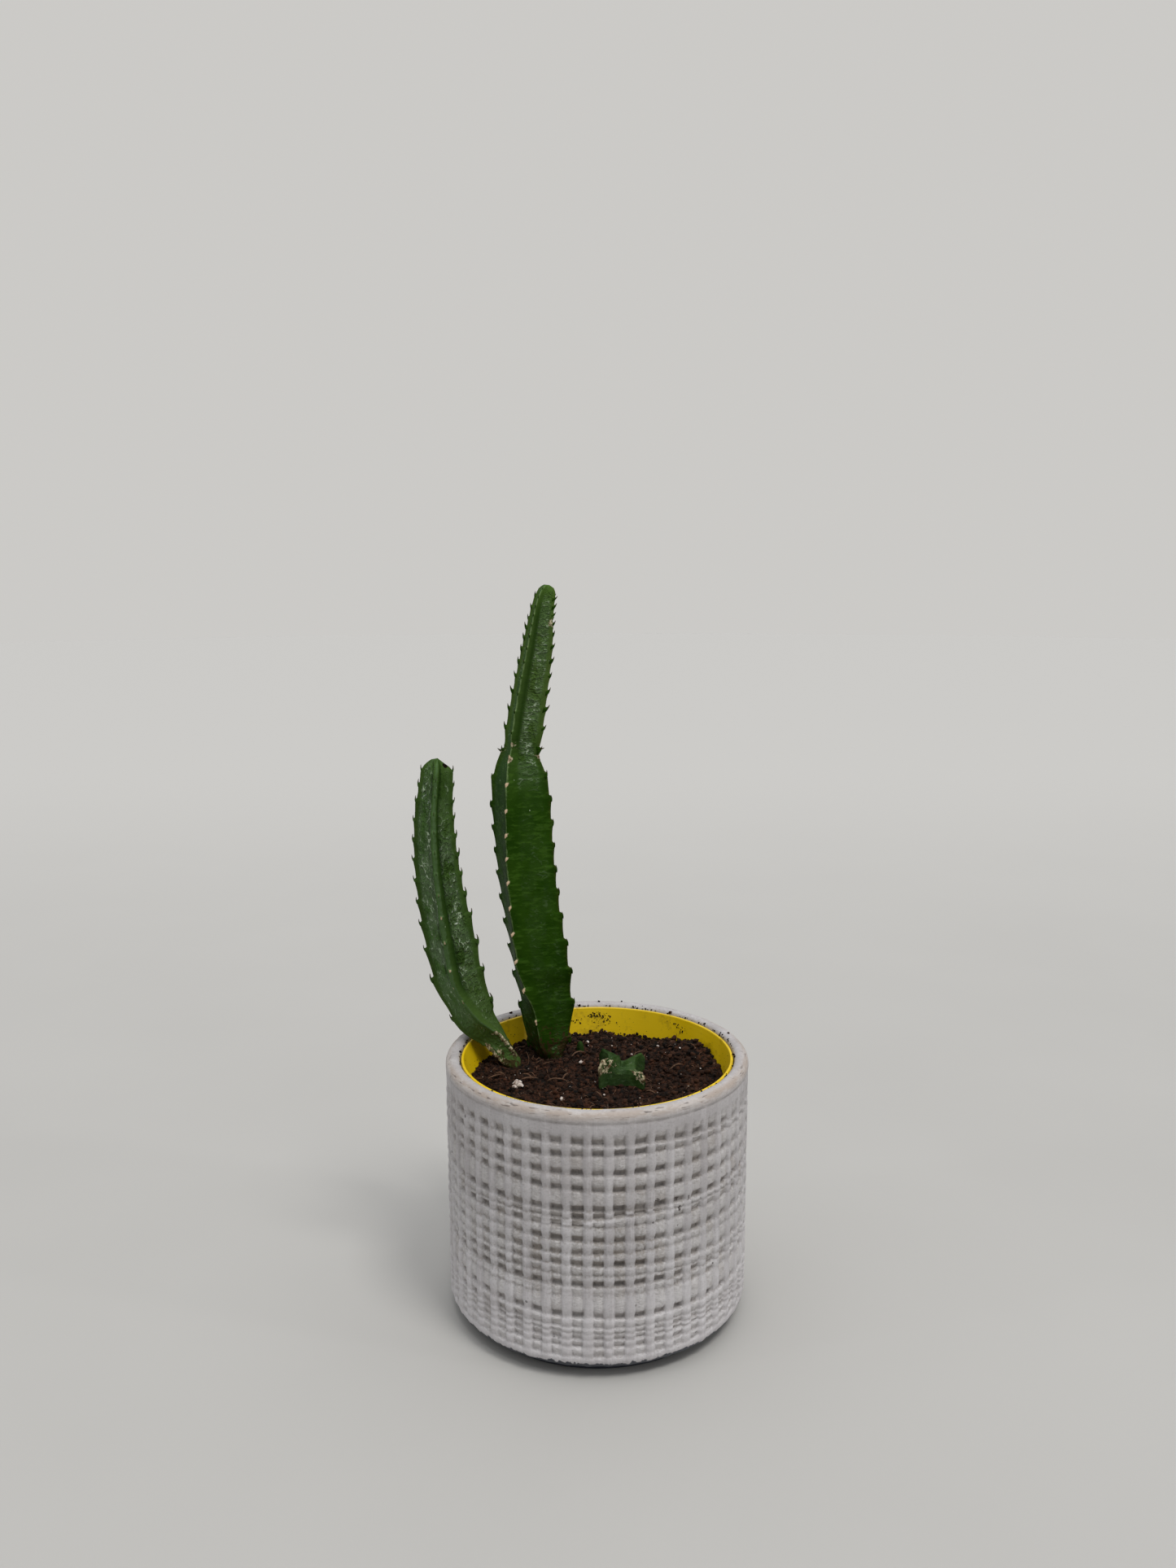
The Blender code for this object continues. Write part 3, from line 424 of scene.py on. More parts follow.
SHORT_LOOKS = {
    "beads": (THIN_BEAD, THIN_BEAD, THIN_BEAD, BROAD_BEAD),
    "furrows": ((3, 19.0, 8.5, 1.0, 0.25, 1.08), (3, -20.0, 7.0, 0.1, 0.30, 1.01)),
    "wrinkled": (FULL_FACE, FULL_FACE, FULL_FACE, SPENT_FACE),
    "smooth_band": 18.0,
    # painted bluish sheen on the side face, along the stem
    "painted_sheen": ((0.0, 0.3), (0.25, 0.6), (0.4, 1.0), (0.8, 0.8), (1.0, 0.2)),
    "slanted": 1.5,
    "pale": (0.1, 0.1, 0.1, 0.75),
    "pale_width": ((0.0, 3.0), (0.3, 4.5), (0.5, 7.5), (1.0, 9.0)),
    "scars": (0.0, 0.0, 0.0, 0.7),
    "scarred": ((0.0, 0.8), (0.55, 0.8), (0.7, 0.2), (1.0, 0.2)),
    "dry": (0.2, 0.2, 0.2, 0.0),
    "crusts": SHORT_CRUSTS,
    "cork": SHORT_CORK,
    "scabs": SHORT_SCABS,
    "dents": (),
    "swing": SHORT_SWING,
    "hook": ((0.0, 2.3), (0.5, 2.2), (1.0, 2.0)),
    "hook_share": (1.0, 1.0, 1.0, 0.5),
    "lean": ((0.0, 0.6), (0.4, 0.50), (1.0, 0.45)),
    "fin": 0.5,
    "rooted": (0.10, 0.10),
    "crown": 0.0,
    "spikes": (),
    "waist": 0.0,
}

# Skins: the greens of shade, middle, new growth, crests and the side face's painted bluish sheen, as a screen
# shows them, where new growth turns brighter, height of the wrinkles in metres, strength of their painted
# glints and their stretch
TALL_SKIN = {
    "greens": ((29, 56, 8), (38, 66, 12), (72, 106, 36), (118, 140, 92), (50, 78, 58)),
    "bright": (0.54, 0.78, 0.0, 0.9),
    "wrinkle": 0.0011,
    "painted_glint_strength": 0.80,
    "stretch": (0.65, 0.65, 1.25),
}
SHORT_SKIN = {
    "greens": ((44, 66, 26), (56, 80, 34), (72, 98, 46), (80, 104, 68), (86, 122, 66)),
    "bright": (0.05, 0.48, 0.75, 0.05),
    "wrinkle": 0.0012,
    "painted_glint_strength": 0.90,
    "stretch": (0.95, 0.95, 0.7),
}
STUB_SKIN = {
    "greens": ((34, 54, 24), (46, 68, 30), (70, 96, 44), (112, 128, 90), (46, 68, 30)),
    "bright": (0.5, 1.0, 0.0, 0.0),
    "wrinkle": 0.0003,
    "painted_glint_strength": 0.2,
    "stretch": (1.0, 1.0, 1.0),
}
NUB_SKIN = {**STUB_SKIN, "wrinkle": 0.0002, "painted_glint_strength": 0.1}

# Camera of the photograph
CAMERA_PLACE = (-0.00377, -0.55844, 0.34225)
CAMERA_PITCH = 80.263  # degrees, like the roll
CAMERA_ROLL = -0.1748
CAMERA_LENS = 29.153  # millimetres, like the sensor's height
CAMERA_SENSOR = 36.0

# Distant lights: from where, how many degrees wide, how strong and their colour
LIGHTS = {
    "key": ((0.34, -0.38, 1.00), 16.0, 1.12, (1.0, 0.99, 0.97)),
    "left_sparkle": ((-1.00, -0.30, 0.30), 5.0, 0.13, (0.93, 0.97, 1.0)),
    "right_sparkle": ((1.00, -0.30, 0.30), 5.0, 0.26, (1.0, 1.0, 1.0)),
    "top_sparkle": ((0.05, -0.55, 1.00), 6.0, 0.25, (1.0, 1.0, 1.0)),
}
# Brightness of the studio's walls and ceiling, and of what the camera sees behind the object
LOW_SKY = (0.20, 0.20, 0.20, 1.0)
HIGH_SKY = (1.15, 1.17, 1.20, 1.0)
BACKDROP = (0.60, 0.59, 0.57, 1.0)


def between(points, place):
    """The value at a place, read along straight lines through (place, value) points."""
    for (start, low), (end, high) in zip(points, points[1:]):
        if place <= end:
            share = max(0.0, (place - start) / (end - start))
            return low + (high - low) * share
    return points[-1][1]


def smooth(low, high, value):
    """0 below low, 1 above high and a soft step between them."""
    share = min(1.0, max(0.0, (value - low) / (high - low)))
    return share * share * (3.0 - 2.0 * share)


def within(low, high, rise, fall, value):
    """1 between low and high. It fades in over rise after low and out over fall before high."""
    return smooth(low, low + rise, value) * (1.0 - smooth(high - fall, high, value))


def bell(value, width):
    return math.exp(-((value / width) ** 2))


def wander(x, y, z, scale=1.0):
    """Smooth noise between -1 and 1."""
    return noise.noise(Vector((x, y, z)) * scale)


def polar(radius, angle):
    return radius * math.cos(angle), radius * math.sin(angle)


def around(centre, radius, angle, rise=0.0):
    """The place at a distance and an angle round a centre, raised by some height."""
    return centre[0] + radius * math.cos(angle), centre[1] + radius * math.sin(angle), centre[2] + rise


class Shape:
    """A mesh under construction: points, faces, and a number per point for each mark."""

    def __init__(self, *marks):
        self.points = []
        self.faces = []
        self.marks = {mark: [] for mark in marks}

    def point(self, place, **values):
        self.points.append(tuple(place))
        for mark, numbers in self.marks.items():
            numbers.append(values.get(mark, 0.0))
        return len(self.points) - 1

    def ring(self, places, **values):
        return [self.point(place, **values) for place in places]

    def round_ring(self, sides, radius, height, centre=(0.0, 0.0), **values):
        places = [around((*centre, height), radius, math.tau * side / sides) for side in range(sides)]
        return self.ring(places, **values)

    def join(self, lower, upper):
        for step, corner in enumerate(lower):
            after = (step + 1) % len(lower)
            self.faces.append((corner, lower[after], upper[after], upper[step]))

    def join_all(self, rings):
        for lower, upper in zip(rings, rings[1:]):
            self.join(lower, upper)

    def close(self, ring, tip, **values):
        middle = self.point(tip, **values)
        for step, corner in enumerate(ring):
            self.faces.append((corner, ring[(step + 1) % len(ring)], middle))

    def mesh(self, name):
        made = bpy.data.meshes.new(name)
        made.from_pydata(self.points, [], self.faces)
        return made


def add_object(name, data):
    made = bpy.data.objects.new(name, data)
    bpy.context.scene.collection.objects.link(made)
    return made


def piece(name, shape, finish, stands_for=None):
    """Turns a shape into an object that rides on the root."""
    mesh = shape.mesh(name)
    bm = bmesh.new()
    bm.from_mesh(mesh)
    bmesh.ops.recalc_face_normals(bm, faces=bm.faces[:])
    bm.to_mesh(mesh)
    bm.free()
    for mark, numbers in shape.marks.items():
        mesh.attributes.new(mark, "FLOAT", "POINT").data.foreach_set("value", numbers)
    mesh.materials.append(finish)
    mesh.shade_smooth()
    made = add_object(name, mesh)
    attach(made, "root")
    if stands_for:
        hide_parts(stands_for)
    return made


# Materials


def linear(red, green, blue):
    """A colour given as a screen shows it, from 0 to 255, in the linear values of a shader."""
    shares = (red / 255, green / 255, blue / 255)
    return tuple(s / 12.92 if s <= 0.04045 else ((s + 0.055) / 1.055) ** 2.4 for s in shares) + (1.0,)


class Nodes:
    """Adds nodes to a tree. A value that is a socket is linked, and any other one is set."""

    def __init__(self, tree):
        self.tree = tree
        self.colour = None

    def put(self, value, socket):
        if isinstance(value, bpy.types.NodeSocket):
            self.tree.links.new(value, socket)
        else:
            socket.default_value = value

    def add(self, kind, inputs, **settings):
        made = self.tree.nodes.new("ShaderNode" + kind)
        for name, value in settings.items():
            setattr(made, name, value)
        for key, value in inputs.items():
            self.put(value, made.inputs[key])
        return made

    def math(self, operation, first, second=0.0):
        return self.add("Math", {0: first, 1: second}, operation=operation).outputs[0]

    def times(self, first, second):
        return self.math("MULTIPLY", first, second)

    def plus(self, first, second):
        return self.math("ADD", first, second)

    def scaled(self, vector, factors):
        return self.add("VectorMath", {0: vector, 1: factors}, operation="MULTIPLY").outputs[0]

    def noise(self, vector, scale, detail=2.0, roughness=0.5, stretch=None):
        if stretch:
            vector = self.scaled(vector, stretch)
        inputs = {"Vector": vector, "Scale": scale, "Detail": detail, "Roughness": roughness}
        return self.add("TexNoise", inputs).outputs[0]

    def ramp(self, value, low, high, start=0.0, end=1.0):
        inputs = {"Value": value, "From Min": low, "From Max": high, "To Min": start, "To Max": end}
        return self.add("MapRange", inputs, interpolation_type="SMOOTHSTEP").outputs[0]

    def mix(self, share, first, second):
        made = self.tree.nodes.new("ShaderNodeMix")
        made.data_type = "RGBA"
        for index, value in ((0, share), (6, first), (7, second)):
            self.put(value, made.inputs[index])
        return made.outputs[2]

    def cover(self, share, colour):
        """Lays a colour over the ones so far, by a share."""
        self.colour = self.mix(share, self.colour, colour)

    def layer(self, share, red, green, blue):
        self.cover(share, linear(red, green, blue))

    def mix_number(self, share, first, second):
        made = self.tree.nodes.new("ShaderNodeMix")
        for index, value in ((0, share), (2, first), (3, second)):
            self.put(value, made.inputs[index])
        return made.outputs[0]

    def mark(self, name):
        return self.add("Attribute", {}, attribute_name=name).outputs["Fac"]

    def place(self):
        return self.add("TexCoord", {}).outputs["Object"]

    def group(self, name, place, **inputs):
        made = self.tree.nodes.new("ShaderNodeGroup")
        made.node_tree = bpy.data.node_groups[name]
        self.put(place, made.inputs["Place"])
        for label, value in inputs.items():
            self.put(value, made.inputs[label])
        return made.outputs[0]

    def bump(self, height, distance, strength=1.0, under=None):
        inputs = {"Height": height, "Distance": distance, "Strength": strength}
        if under:
            inputs["Normal"] = under
        return self.add("Bump", inputs).outputs[0]


def new_group(name, inputs, output):
    """An empty node group with number inputs and one number output."""
    tree = bpy.data.node_groups.new(name, "ShaderNodeTree")
    tree.interface.new_socket("Place", in_out="INPUT", socket_type="NodeSocketVector")
    for label in inputs:
        tree.interface.new_socket(label, in_out="INPUT", socket_type="NodeSocketFloat")
    tree.interface.new_socket(output, in_out="OUTPUT", socket_type="NodeSocketFloat")
    start = tree.nodes.new("NodeGroupInput").outputs
    end = tree.nodes.new("NodeGroupOutput").inputs
    return Nodes(tree), start, end


def make_specks():
    """Small round specks: how far apart they are, how big, and the share of them that shows."""
    nodes, start, end = new_group("specks", ("Scale", "Size", "Share"), "Mask")
    cells = nodes.add("TexVoronoi", {"Vector": start["Place"], "Scale": start["Scale"]})
    near = nodes.math("LESS_THAN", cells.outputs["Distance"], start["Size"])
    pick = nodes.add("SeparateColor", {0: cells.outputs["Color"]}).outputs[0]
    shown = nodes.math("LESS_THAN", pick, start["Share"])
    nodes.put(nodes.times(near, shown), end["Mask"])


def make_blotches():
    """Soft patches with a cut: a large noise broken up by a small one."""
    nodes, start, end = new_group("blotches", ("Scale", "Cut", "Softness"), "Mask")
    large = nodes.noise(start["Place"], start["Scale"])
    fine = nodes.noise(start["Place"], nodes.times(start["Scale"], 6.0), 3.0, 0.6)
    both = nodes.plus(nodes.times(large, 0.65), nodes.times(fine, 0.35))
    low = nodes.math("SUBTRACT", start["Cut"], start["Softness"])
    high = nodes.plus(start["Cut"], start["Softness"])
    nodes.put(nodes.ramp(both, low, high), end["Mask"])


def new_material(name, roughness):
    made = bpy.data.materials.new(name)
    made.use_nodes = True
    shader = made.node_tree.nodes["Principled BSDF"]
    shader.inputs["Roughness"].default_value = roughness
    return made, Nodes(made.node_tree), shader


def dress(nodes, shader, **inputs):
    """Gives the shader the layered colour and the other values."""
    nodes.put(nodes.colour, shader.inputs["Base Color"])
    for name, value in inputs.items():
        nodes.put(value, shader.inputs[name.replace("_", " ")])


def layer_wall(nodes, place, strokes, fine, grain):
    """White paint with brush strokes, grey-brown painted shade in the grooves and hollows, dirty and stained.
    """
    groove, window, stain = nodes.mark("groove"), nodes.mark("window"), nodes.mark("stain")
    nodes.layer(nodes.ramp(strokes, 0.50, 0.72, 0.0, 0.35), 214, 211, 213)
    nodes.layer(nodes.times(window, 0.5), 190, 187, 184)
    nodes.layer(nodes.ramp(grain, 0.50, 0.70, 0.0, 0.25), 130, 125, 123)
    # Grey-brown painted shade wherever the groove mark has it: grooves, hollows, set-back cords, under the
    # rim and above the folds
    painted_shade = nodes.plus(groove, nodes.ramp(fine, 0.2, 0.8, -0.30, 0.30))
    broad = nodes.ramp(nodes.noise(place, 26.0), 0.30, 0.62, 0.55, 1.0)
    painted_shade = nodes.times(nodes.ramp(painted_shade, 0.08, 0.80), broad)
    nodes.layer(nodes.times(painted_shade, 0.76), 122, 113, 104)
    dirty = nodes.group("blotches", place, Scale=70.0, Cut=0.58, Softness=0.05)
    nodes.layer(nodes.times(dirty, nodes.times(window, 0.30)), 132, 120, 108)
    specks = nodes.group("specks", place, Scale=260.0, Size=0.16, Share=0.02)
    nodes.layer(nodes.times(specks, 0.85), 52, 46, 42)
    ragged = nodes.ramp(nodes.noise(place, 900.0, 3.0, 0.7), 0.3, 0.7, -0.35, 0.25)
    nodes.layer(nodes.ramp(nodes.plus(stain, ragged), 0.35, 0.60, 0.0, 0.9), 50, 38, 30)


def layer_rim(nodes, place):
    """The worn rim, with thin dark lines round it."""
    edge = nodes.mark("edge")
    nodes.layer(nodes.times(edge, 0.45), 196, 182, 166)
    level = nodes.scaled(place, (0.25, 0.25, 1.0))
    worn = nodes.group("blotches", level, Scale=230.0, Cut=0.50, Softness=0.06)
    nodes.layer(nodes.times(worn, nodes.times(edge, 0.55)), 150, 128, 108)
    lines = nodes.noise(place, 1500.0, stretch=(0.12, 0.12, 1.0))
    line = nodes.times(nodes.ramp(lines, 0.61, 0.66), edge)
    nodes.layer(nodes.times(line, 0.85), 82, 70, 62)


def bare_foot(nodes, place, height):
    """1 under the brushed lower end of the paint and 0 above it."""
    feathers = nodes.noise(place, 330.0, 3.0, 0.6, stretch=(1.0, 1.0, 0.25))
    brushed = nodes.plus(height, nodes.ramp(feathers, 0.25, 0.75, -0.0011, 0.0011))
    return nodes.ramp(brushed, 0.0080, 0.0086, 1.0, 0.0)


def pot_paint():
    """Matte white paint with painted light low on the pot, darker high up, that ends over a dark foot."""
    made, nodes, shader = new_material("pot_paint", 0.6)
    place = nodes.place()
    height = nodes.add("SeparateXYZ", {0: place}).outputs[2]
    cloud = nodes.noise(place, 45.0, 3.0)
    fine = nodes.noise(place, 700.0, 3.0, 0.6)
    grain = nodes.noise(place, 1500.0, stretch=(0.6, 0.6, 1.0))
    strokes = nodes.noise(place, 620.0, stretch=(1.0, 1.0, 0.08))
    nodes.colour = nodes.mix(nodes.ramp(cloud, 0.35, 0.65), linear(190, 187, 188), linear(174, 170, 171))
    layer_wall(nodes, place, strokes, fine, grain)
    layer_rim(nodes, place)
    # Painted light low on the pot
    nodes.layer(nodes.ramp(height, 0.015, 0.060, 0.28, 0.0), 222, 218, 220)
    nodes.layer(nodes.ramp(height, 0.060, 0.105, 0.0, 0.22), 158, 151, 148)
    bare = bare_foot(nodes, place, height)
    nodes.cover(bare, nodes.mix(cloud, linear(50, 54, 62), linear(64, 68, 78)))
    threads = nodes.times(grain, nodes.ramp(nodes.mark("window"), 0.0, 1.0, 0.35, 1.0))
    relief = nodes.bump(threads, 0.00045, 0.8)
    relief = nodes.bump(strokes, 0.00035, 0.6, relief)
    relief = nodes.bump(fine, 0.00020, 0.7, relief)
    gloss = nodes.ramp(fine, 0.3, 0.8, 0.50, 0.72)
    dress(nodes, shader, Roughness=nodes.mix_number(bare, gloss, 0.45), Normal=relief)
    return made


def yellow_plastic():
    """Smooth yellow plastic with faint turning marks, scuffs and soil dust."""
    made, nodes, shader = new_material("yellow_plastic", 0.35)
    place = nodes.place()
    cloud = nodes.noise(place, 60.0)
    nodes.colour = nodes.mix(cloud, linear(222, 186, 4), linear(236, 200, 14))
    dusty = nodes.group("blotches", place, Scale=110.0, Cut=0.60, Softness=0.06)
    nodes.layer(nodes.times(dusty, 0.35), 150, 116, 20)
    specks = nodes.group("specks", place, Scale=420.0, Size=0.2, Share=0.05)
    nodes.layer(nodes.times(specks, 0.8), 60, 44, 22)
    rings = nodes.noise(place, 900.0, stretch=(0.05, 0.05, 1.0))
    relief = nodes.bump(rings, 0.00008, 0.5)
    dress(nodes, shader, Roughness=nodes.ramp(cloud, 0.3, 0.7, 0.30, 0.42), Normal=relief)
    return made


def crumbly(name, dark, light, red):
    """Damp potting mix. The tone of each crumb comes with the mesh."""
    made, nodes, shader = new_material(name, 0.9)
    shader.inputs["Specular IOR Level"].default_value = 0.2
    place = nodes.place()
    uneven = nodes.ramp(nodes.noise(place, 900.0, 3.0), 0.2, 0.8, -0.2, 0.2)
    tone = nodes.plus(nodes.mark("tone"), uneven)
    nodes.colour = nodes.mix(nodes.ramp(tone, 0.0, 1.0), linear(*dark), linear(*light))
    reddish = nodes.group("blotches", place, Scale=330.0, Cut=0.58, Softness=0.05)
    nodes.layer(nodes.times(reddish, 0.6), *red)
    grit = nodes.group("specks", place, Scale=900.0, Size=0.22, Share=0.04)
    nodes.layer(nodes.times(grit, 0.5), 170, 150, 128)
    dress(nodes, shader, Normal=nodes.bump(nodes.noise(place, 1800.0, 4.0, 0.7), 0.0006))
    return made


def pale_grit():
    """Perlite: white, chalky and pitted, with soil dust in the pits."""
    made, nodes, shader = new_material("perlite", 0.8)
    place = nodes.place()
    dusty = nodes.group("blotches", place, Scale=800.0, Cut=0.50, Softness=0.10)
    nodes.colour = nodes.mix(nodes.times(dusty, 0.8), linear(224, 214, 206), linear(122, 92, 76))
    dress(nodes, shader, Normal=nodes.bump(nodes.noise(place, 2200.0, 3.0, 0.6), 0.0004))
    return made


def make_creases():
    """A net of fine creases: 1 on the ridges between them and 0 in the valleys."""
    nodes, start, end = new_group("creases", ("Scale",), "Height")
    swirl = nodes.noise(start["Place"], nodes.times(start["Scale"], 0.35))
    swirl = nodes.scaled(swirl, (0.002, 0.002, 0.002))
    moved = nodes.add("VectorMath", {0: start["Place"], 1: swirl}, operation="ADD")
    height = 0.0
    for factor, share in ((1.0, 0.55), (2.3, 0.45)):
        wave = nodes.noise(moved.outputs[0], nodes.times(start["Scale"], factor), 1.0)
        fold = nodes.math("ABSOLUTE", nodes.math("SUBTRACT", wave, 0.5))
        ridge = nodes.ramp(fold, 0.0, 0.13, 1.0, 0.0)
        height = nodes.plus(nodes.times(ridge, share), height)
    nodes.put(height, end["Height"])


def layer_greens(nodes, mark, greens, bright, cloud, fine, across):
    """Mottled greens, streaked across, dark in the furrows and pale on the crests, with a painted bluish
    sheen on the side face.
    """
    deep, mid, fresh, pale, side = greens
    nodes.colour = nodes.mix(nodes.ramp(cloud, 0.3, 0.7), deep, mid)
    nodes.cover(nodes.ramp(across, 0.50, 0.68, 0.0, 0.34), fresh)
    nodes.layer(nodes.ramp(mark["height"], *bright), 74, 98, 46)
    nodes.cover(nodes.ramp(mark["height"], 0.90, 1.0, 0.0, 0.4), fresh)
    # Painted bluish sheen on the side face
    nodes.cover(nodes.times(mark["painted_sheen"], 0.5), side)
    nodes.layer(nodes.times(mark["furrow"], 0.80), 24, 47, 9)
    crest = nodes.plus(mark["crest"], nodes.ramp(fine, 0.3, 0.7, -0.15, 0.15))
    nodes.cover(nodes.ramp(crest, 0.30, 0.85, 0.0, 0.75), pale)


def paint_wrinkle_glints_and_shade(nodes, place, wrinkled, creases, painted_glint_strength, deep):
    """Painted glints on the ridges, a painted lighter sheen over the glossy patches and painted shade in the
    valleys between them. Gives where the skin is glossy.
    """
    patchy = nodes.ramp(nodes.noise(place, 150.0, 3.0, stretch=(1.0, 1.0, 0.6)), 0.34, 0.54)
    gloss_and_painted_sheen = nodes.times(wrinkled, patchy)
    painted_glint_patches = nodes.ramp(nodes.noise(place, 150.0), 0.42, 0.62, 0.20, 1.0)
    painted_glint = nodes.times(nodes.times(nodes.ramp(creases, 0.70, 0.88), gloss_and_painted_sheen), painted_glint_patches)
    # Painted lighter sheen over the glossy patches, painted glints on the ridges and painted shade in the
    # valleys
    nodes.layer(nodes.times(gloss_and_painted_sheen, 0.38), 94, 120, 78)
    nodes.layer(nodes.times(painted_glint, painted_glint_strength), 172, 190, 160)
    nodes.cover(nodes.times(nodes.ramp(creases, 0.10, 0.35, 0.45, 0.0), gloss_and_painted_sheen), deep)
    return gloss_and_painted_sheen


def layer_blemishes(nodes, place, mark, fine):
    """Dots, dry edges, cork, brown hooks, splashed soil, scars and scabs. Gives where cork is."""
    dots = nodes.group("specks", place, Scale=420.0, Size=0.13, Share=0.04)
    nodes.layer(nodes.times(dots, 0.6), 176, 190, 160)
    nodes.layer(nodes.times(mark["dry"], nodes.ramp(fine, 0.3, 0.6)), 84, 60, 38)
    broken = nodes.ramp(nodes.noise(place, 560.0, 4.0, 0.7), 0.3, 0.7, -0.70, 0.40)
    corky = nodes.ramp(nodes.plus(mark["cork"], broken), 0.40, 0.52)
    cork = nodes.mix(nodes.ramp(fine, 0.40, 0.62), linear(204, 192, 160), linear(92, 70, 50))
    nodes.cover(nodes.times(corky, 0.9), cork)
    nodes.layer(nodes.ramp(mark["hook"], 0.15, 0.8, 0.0, 0.9), 70, 60, 42)
    drops = nodes.ramp(nodes.noise(place, 420.0, 4.0, 0.7), 0.35, 0.65, -0.5, 0.35)
    splashed = nodes.plus(nodes.ramp(mark["height"], 0.015, 0.10, 0.55, 0.0), drops)
    nodes.layer(nodes.ramp(splashed, 0.35, 0.5, 0.0, 0.85), 66, 48, 32)
    scar = nodes.plus(mark["scar"], nodes.ramp(fine, 0.3, 0.7, -0.12, 0.12))
    nodes.layer(nodes.ramp(scar, 0.35, 0.65, 0.0, 0.9), 198, 172, 144)
    nodes.layer(nodes.ramp(mark["scab"], 0.35, 0.6), 22, 16, 12)
    return corky


def stem_skin(name, greens, bright, wrinkle, painted_glint_strength, stretch):
    """Waxy green skin. Crests, furrows, cork, scabs and hooks come with the mesh as marks."""
    made, nodes, shader = new_material(name, 0.4)
    greens = [linear(*green) for green in greens]
    place = nodes.place()
    mark = {label: nodes.mark(label) for label in STEM_MARKS}
    cloud = nodes.noise(place, 90.0, 3.0)
    fine = nodes.noise(place, 520.0, 3.0, 0.6)
    across = nodes.noise(place, 620.0, 3.0, 0.6, stretch=(0.30, 0.30, 1.0))
    creases = nodes.group("creases", nodes.scaled(place, stretch), Scale=280.0)
    layer_greens(nodes, mark, greens, bright, cloud, fine, across)
    gloss_and_painted_sheen = paint_wrinkle_glints_and_shade(nodes, place, mark["wrinkled"], creases, painted_glint_strength, greens[0])
    corky = layer_blemishes(nodes, place, mark, fine)
    relief = nodes.bump(nodes.times(creases, mark["wrinkled"]), wrinkle)
    relief = nodes.bump(across, 0.00035, 0.6, relief)
    relief = nodes.bump(nodes.times(fine, nodes.plus(corky, 0.2)), 0.0006, 0.8, relief)
    dull = nodes.math("MAXIMUM", corky, mark["scab"])
    gloss = nodes.mix_number(dull, nodes.ramp(cloud, 0.3, 0.7, 0.42, 0.52), 0.85)
    wax = nodes.times(gloss_and_painted_sheen, nodes.ramp(dull, 0.0, 0.5, 0.4, 0.0))
    turned_away = nodes.add("LayerWeight", {"Blend": 0.5}).outputs["Facing"]
    wax = nodes.times(wax, nodes.ramp(turned_away, 0.45, 0.80, 1.0, 0.0))
    shader.inputs["IOR"].default_value = 1.05
    shader.inputs["Coat Roughness"].default_value = 0.17
    dress(nodes, shader, Roughness=gloss, Normal=relief, Coat_Weight=wax)
    return made


def pale_floor():
    made, nodes, shader = new_material("pale_floor", 0.7)
    place = nodes.place()
    nodes.colour = nodes.mix(nodes.noise(place, 6.0, 3.0), linear(176, 174, 170), linear(182, 180, 176))
    away = nodes.add("SeparateXYZ", {0: place}).outputs[1]
    nodes.layer(nodes.ramp(away, 0.1, 1.6), 191, 189, 185)
    dress(nodes, shader)
    return made


# Cover pot


def pot_outline(height):
    """The cover pot's outer radius at a height, with its rounded lower edge."""
    if height >= CORNER_HEIGHT:
        return POT_RADIUS
    rise = (CORNER_HEIGHT - height) / (CORNER_HEIGHT - FOOT_HEIGHT)
    return FOOT_RADIUS + (POT_RADIUS - FOOT_RADIUS) * math.sqrt(max(0.0, 1.0 - rise * rise))


def knot_values(knots, column):
    """Height in metres and depth from knots round the pot, easing from the last back to the first."""
    knots = knots + ((knots[0][0] + COLUMNS, *knots[0][1:]),)
    while column < knots[0][0]:
        column += COLUMNS
    for low, high in zip(knots, knots[1:]):
        if column <= high[0]:
            break
    share = smooth(low[0], high[0], column)
    return (low[1] + (high[1] - low[1]) * share) * MM, low[2] + (high[2] - low[2]) * share


def row_lines(column):
    """The height and depth of every row's groove at a place round the pot, counted in columns."""
    lines = []
    angle = math.tau * column / COLUMNS
    for row, knots in enumerate(ROW_GROOVES):
        height, depth = knot_values(knots, column)
        height += -ROW_DROP + 0.0003 * wander(*polar(9, angle), row * 3.7)
        lines.append((height, depth))
    return lines


def groove_share(height, lines, column, window_depths):
    """How deep the rows are at a height: 0 on a bulge and 1 on a full groove's line."""
    deepest = 0.0
    for row, (line, depth) in enumerate(lines):
        above = height - line
        if above > HOLLOW_RISE or above < -LEDGE:
            continue
        if above > 0.0:
            share = 1.0 - smooth(0.35 * HOLLOW_RISE, HOLLOW_RISE, above)
        else:
            share = 1.0 - smooth(0.0, LEDGE, -above)
        deepest = max(deepest, depth * window_depths[row][column] * share)
    return min(1.15, deepest)


def belly(height, lines):
    """1 half-way between two rows and 0 on the rows themselves."""
    for (low, _), (high, _) in zip(lines, lines[1:]):
        if low <= height <= high:
            share = (height - low) / (high - low)
            return 4.0 * share * (1.0 - share)
    return 0.5


def fold_depth(height, column):
    """How far the wall is set back above the folds."""
    depth = 0.0
    for knots in FOLDS:
        line, size = knot_values(knots, column)
        above = height - line
        if above < FOLD_FADE:
            depth += size * MM * smooth(-0.0011, 0.0, above) * (1.0 - smooth(0.0, FOLD_FADE, above))
    return depth


def stain_at(height, column):
    darkest = 0.0
    for middle, up, wide, tall in STAINS:
        across = (column - middle) * math.tau * POT_RADIUS / COLUMNS / MM
        if abs(across) < 3 * wide:
            darkest = max(darkest, bell(across, wide) * bell(height / MM - up, tall))
    return darkest


def window_shade(height, column, hollow):
    """Painted shade in the windows: more at their upper and lower ends, where they sink in, and more at the
    front.
    """
    place, wide, low, high, strength = FRONT_SHADE
    front = bell(column - place, wide) * smooth(low, high, height)
    return WINDOW_SHADE * hollow + strength * front


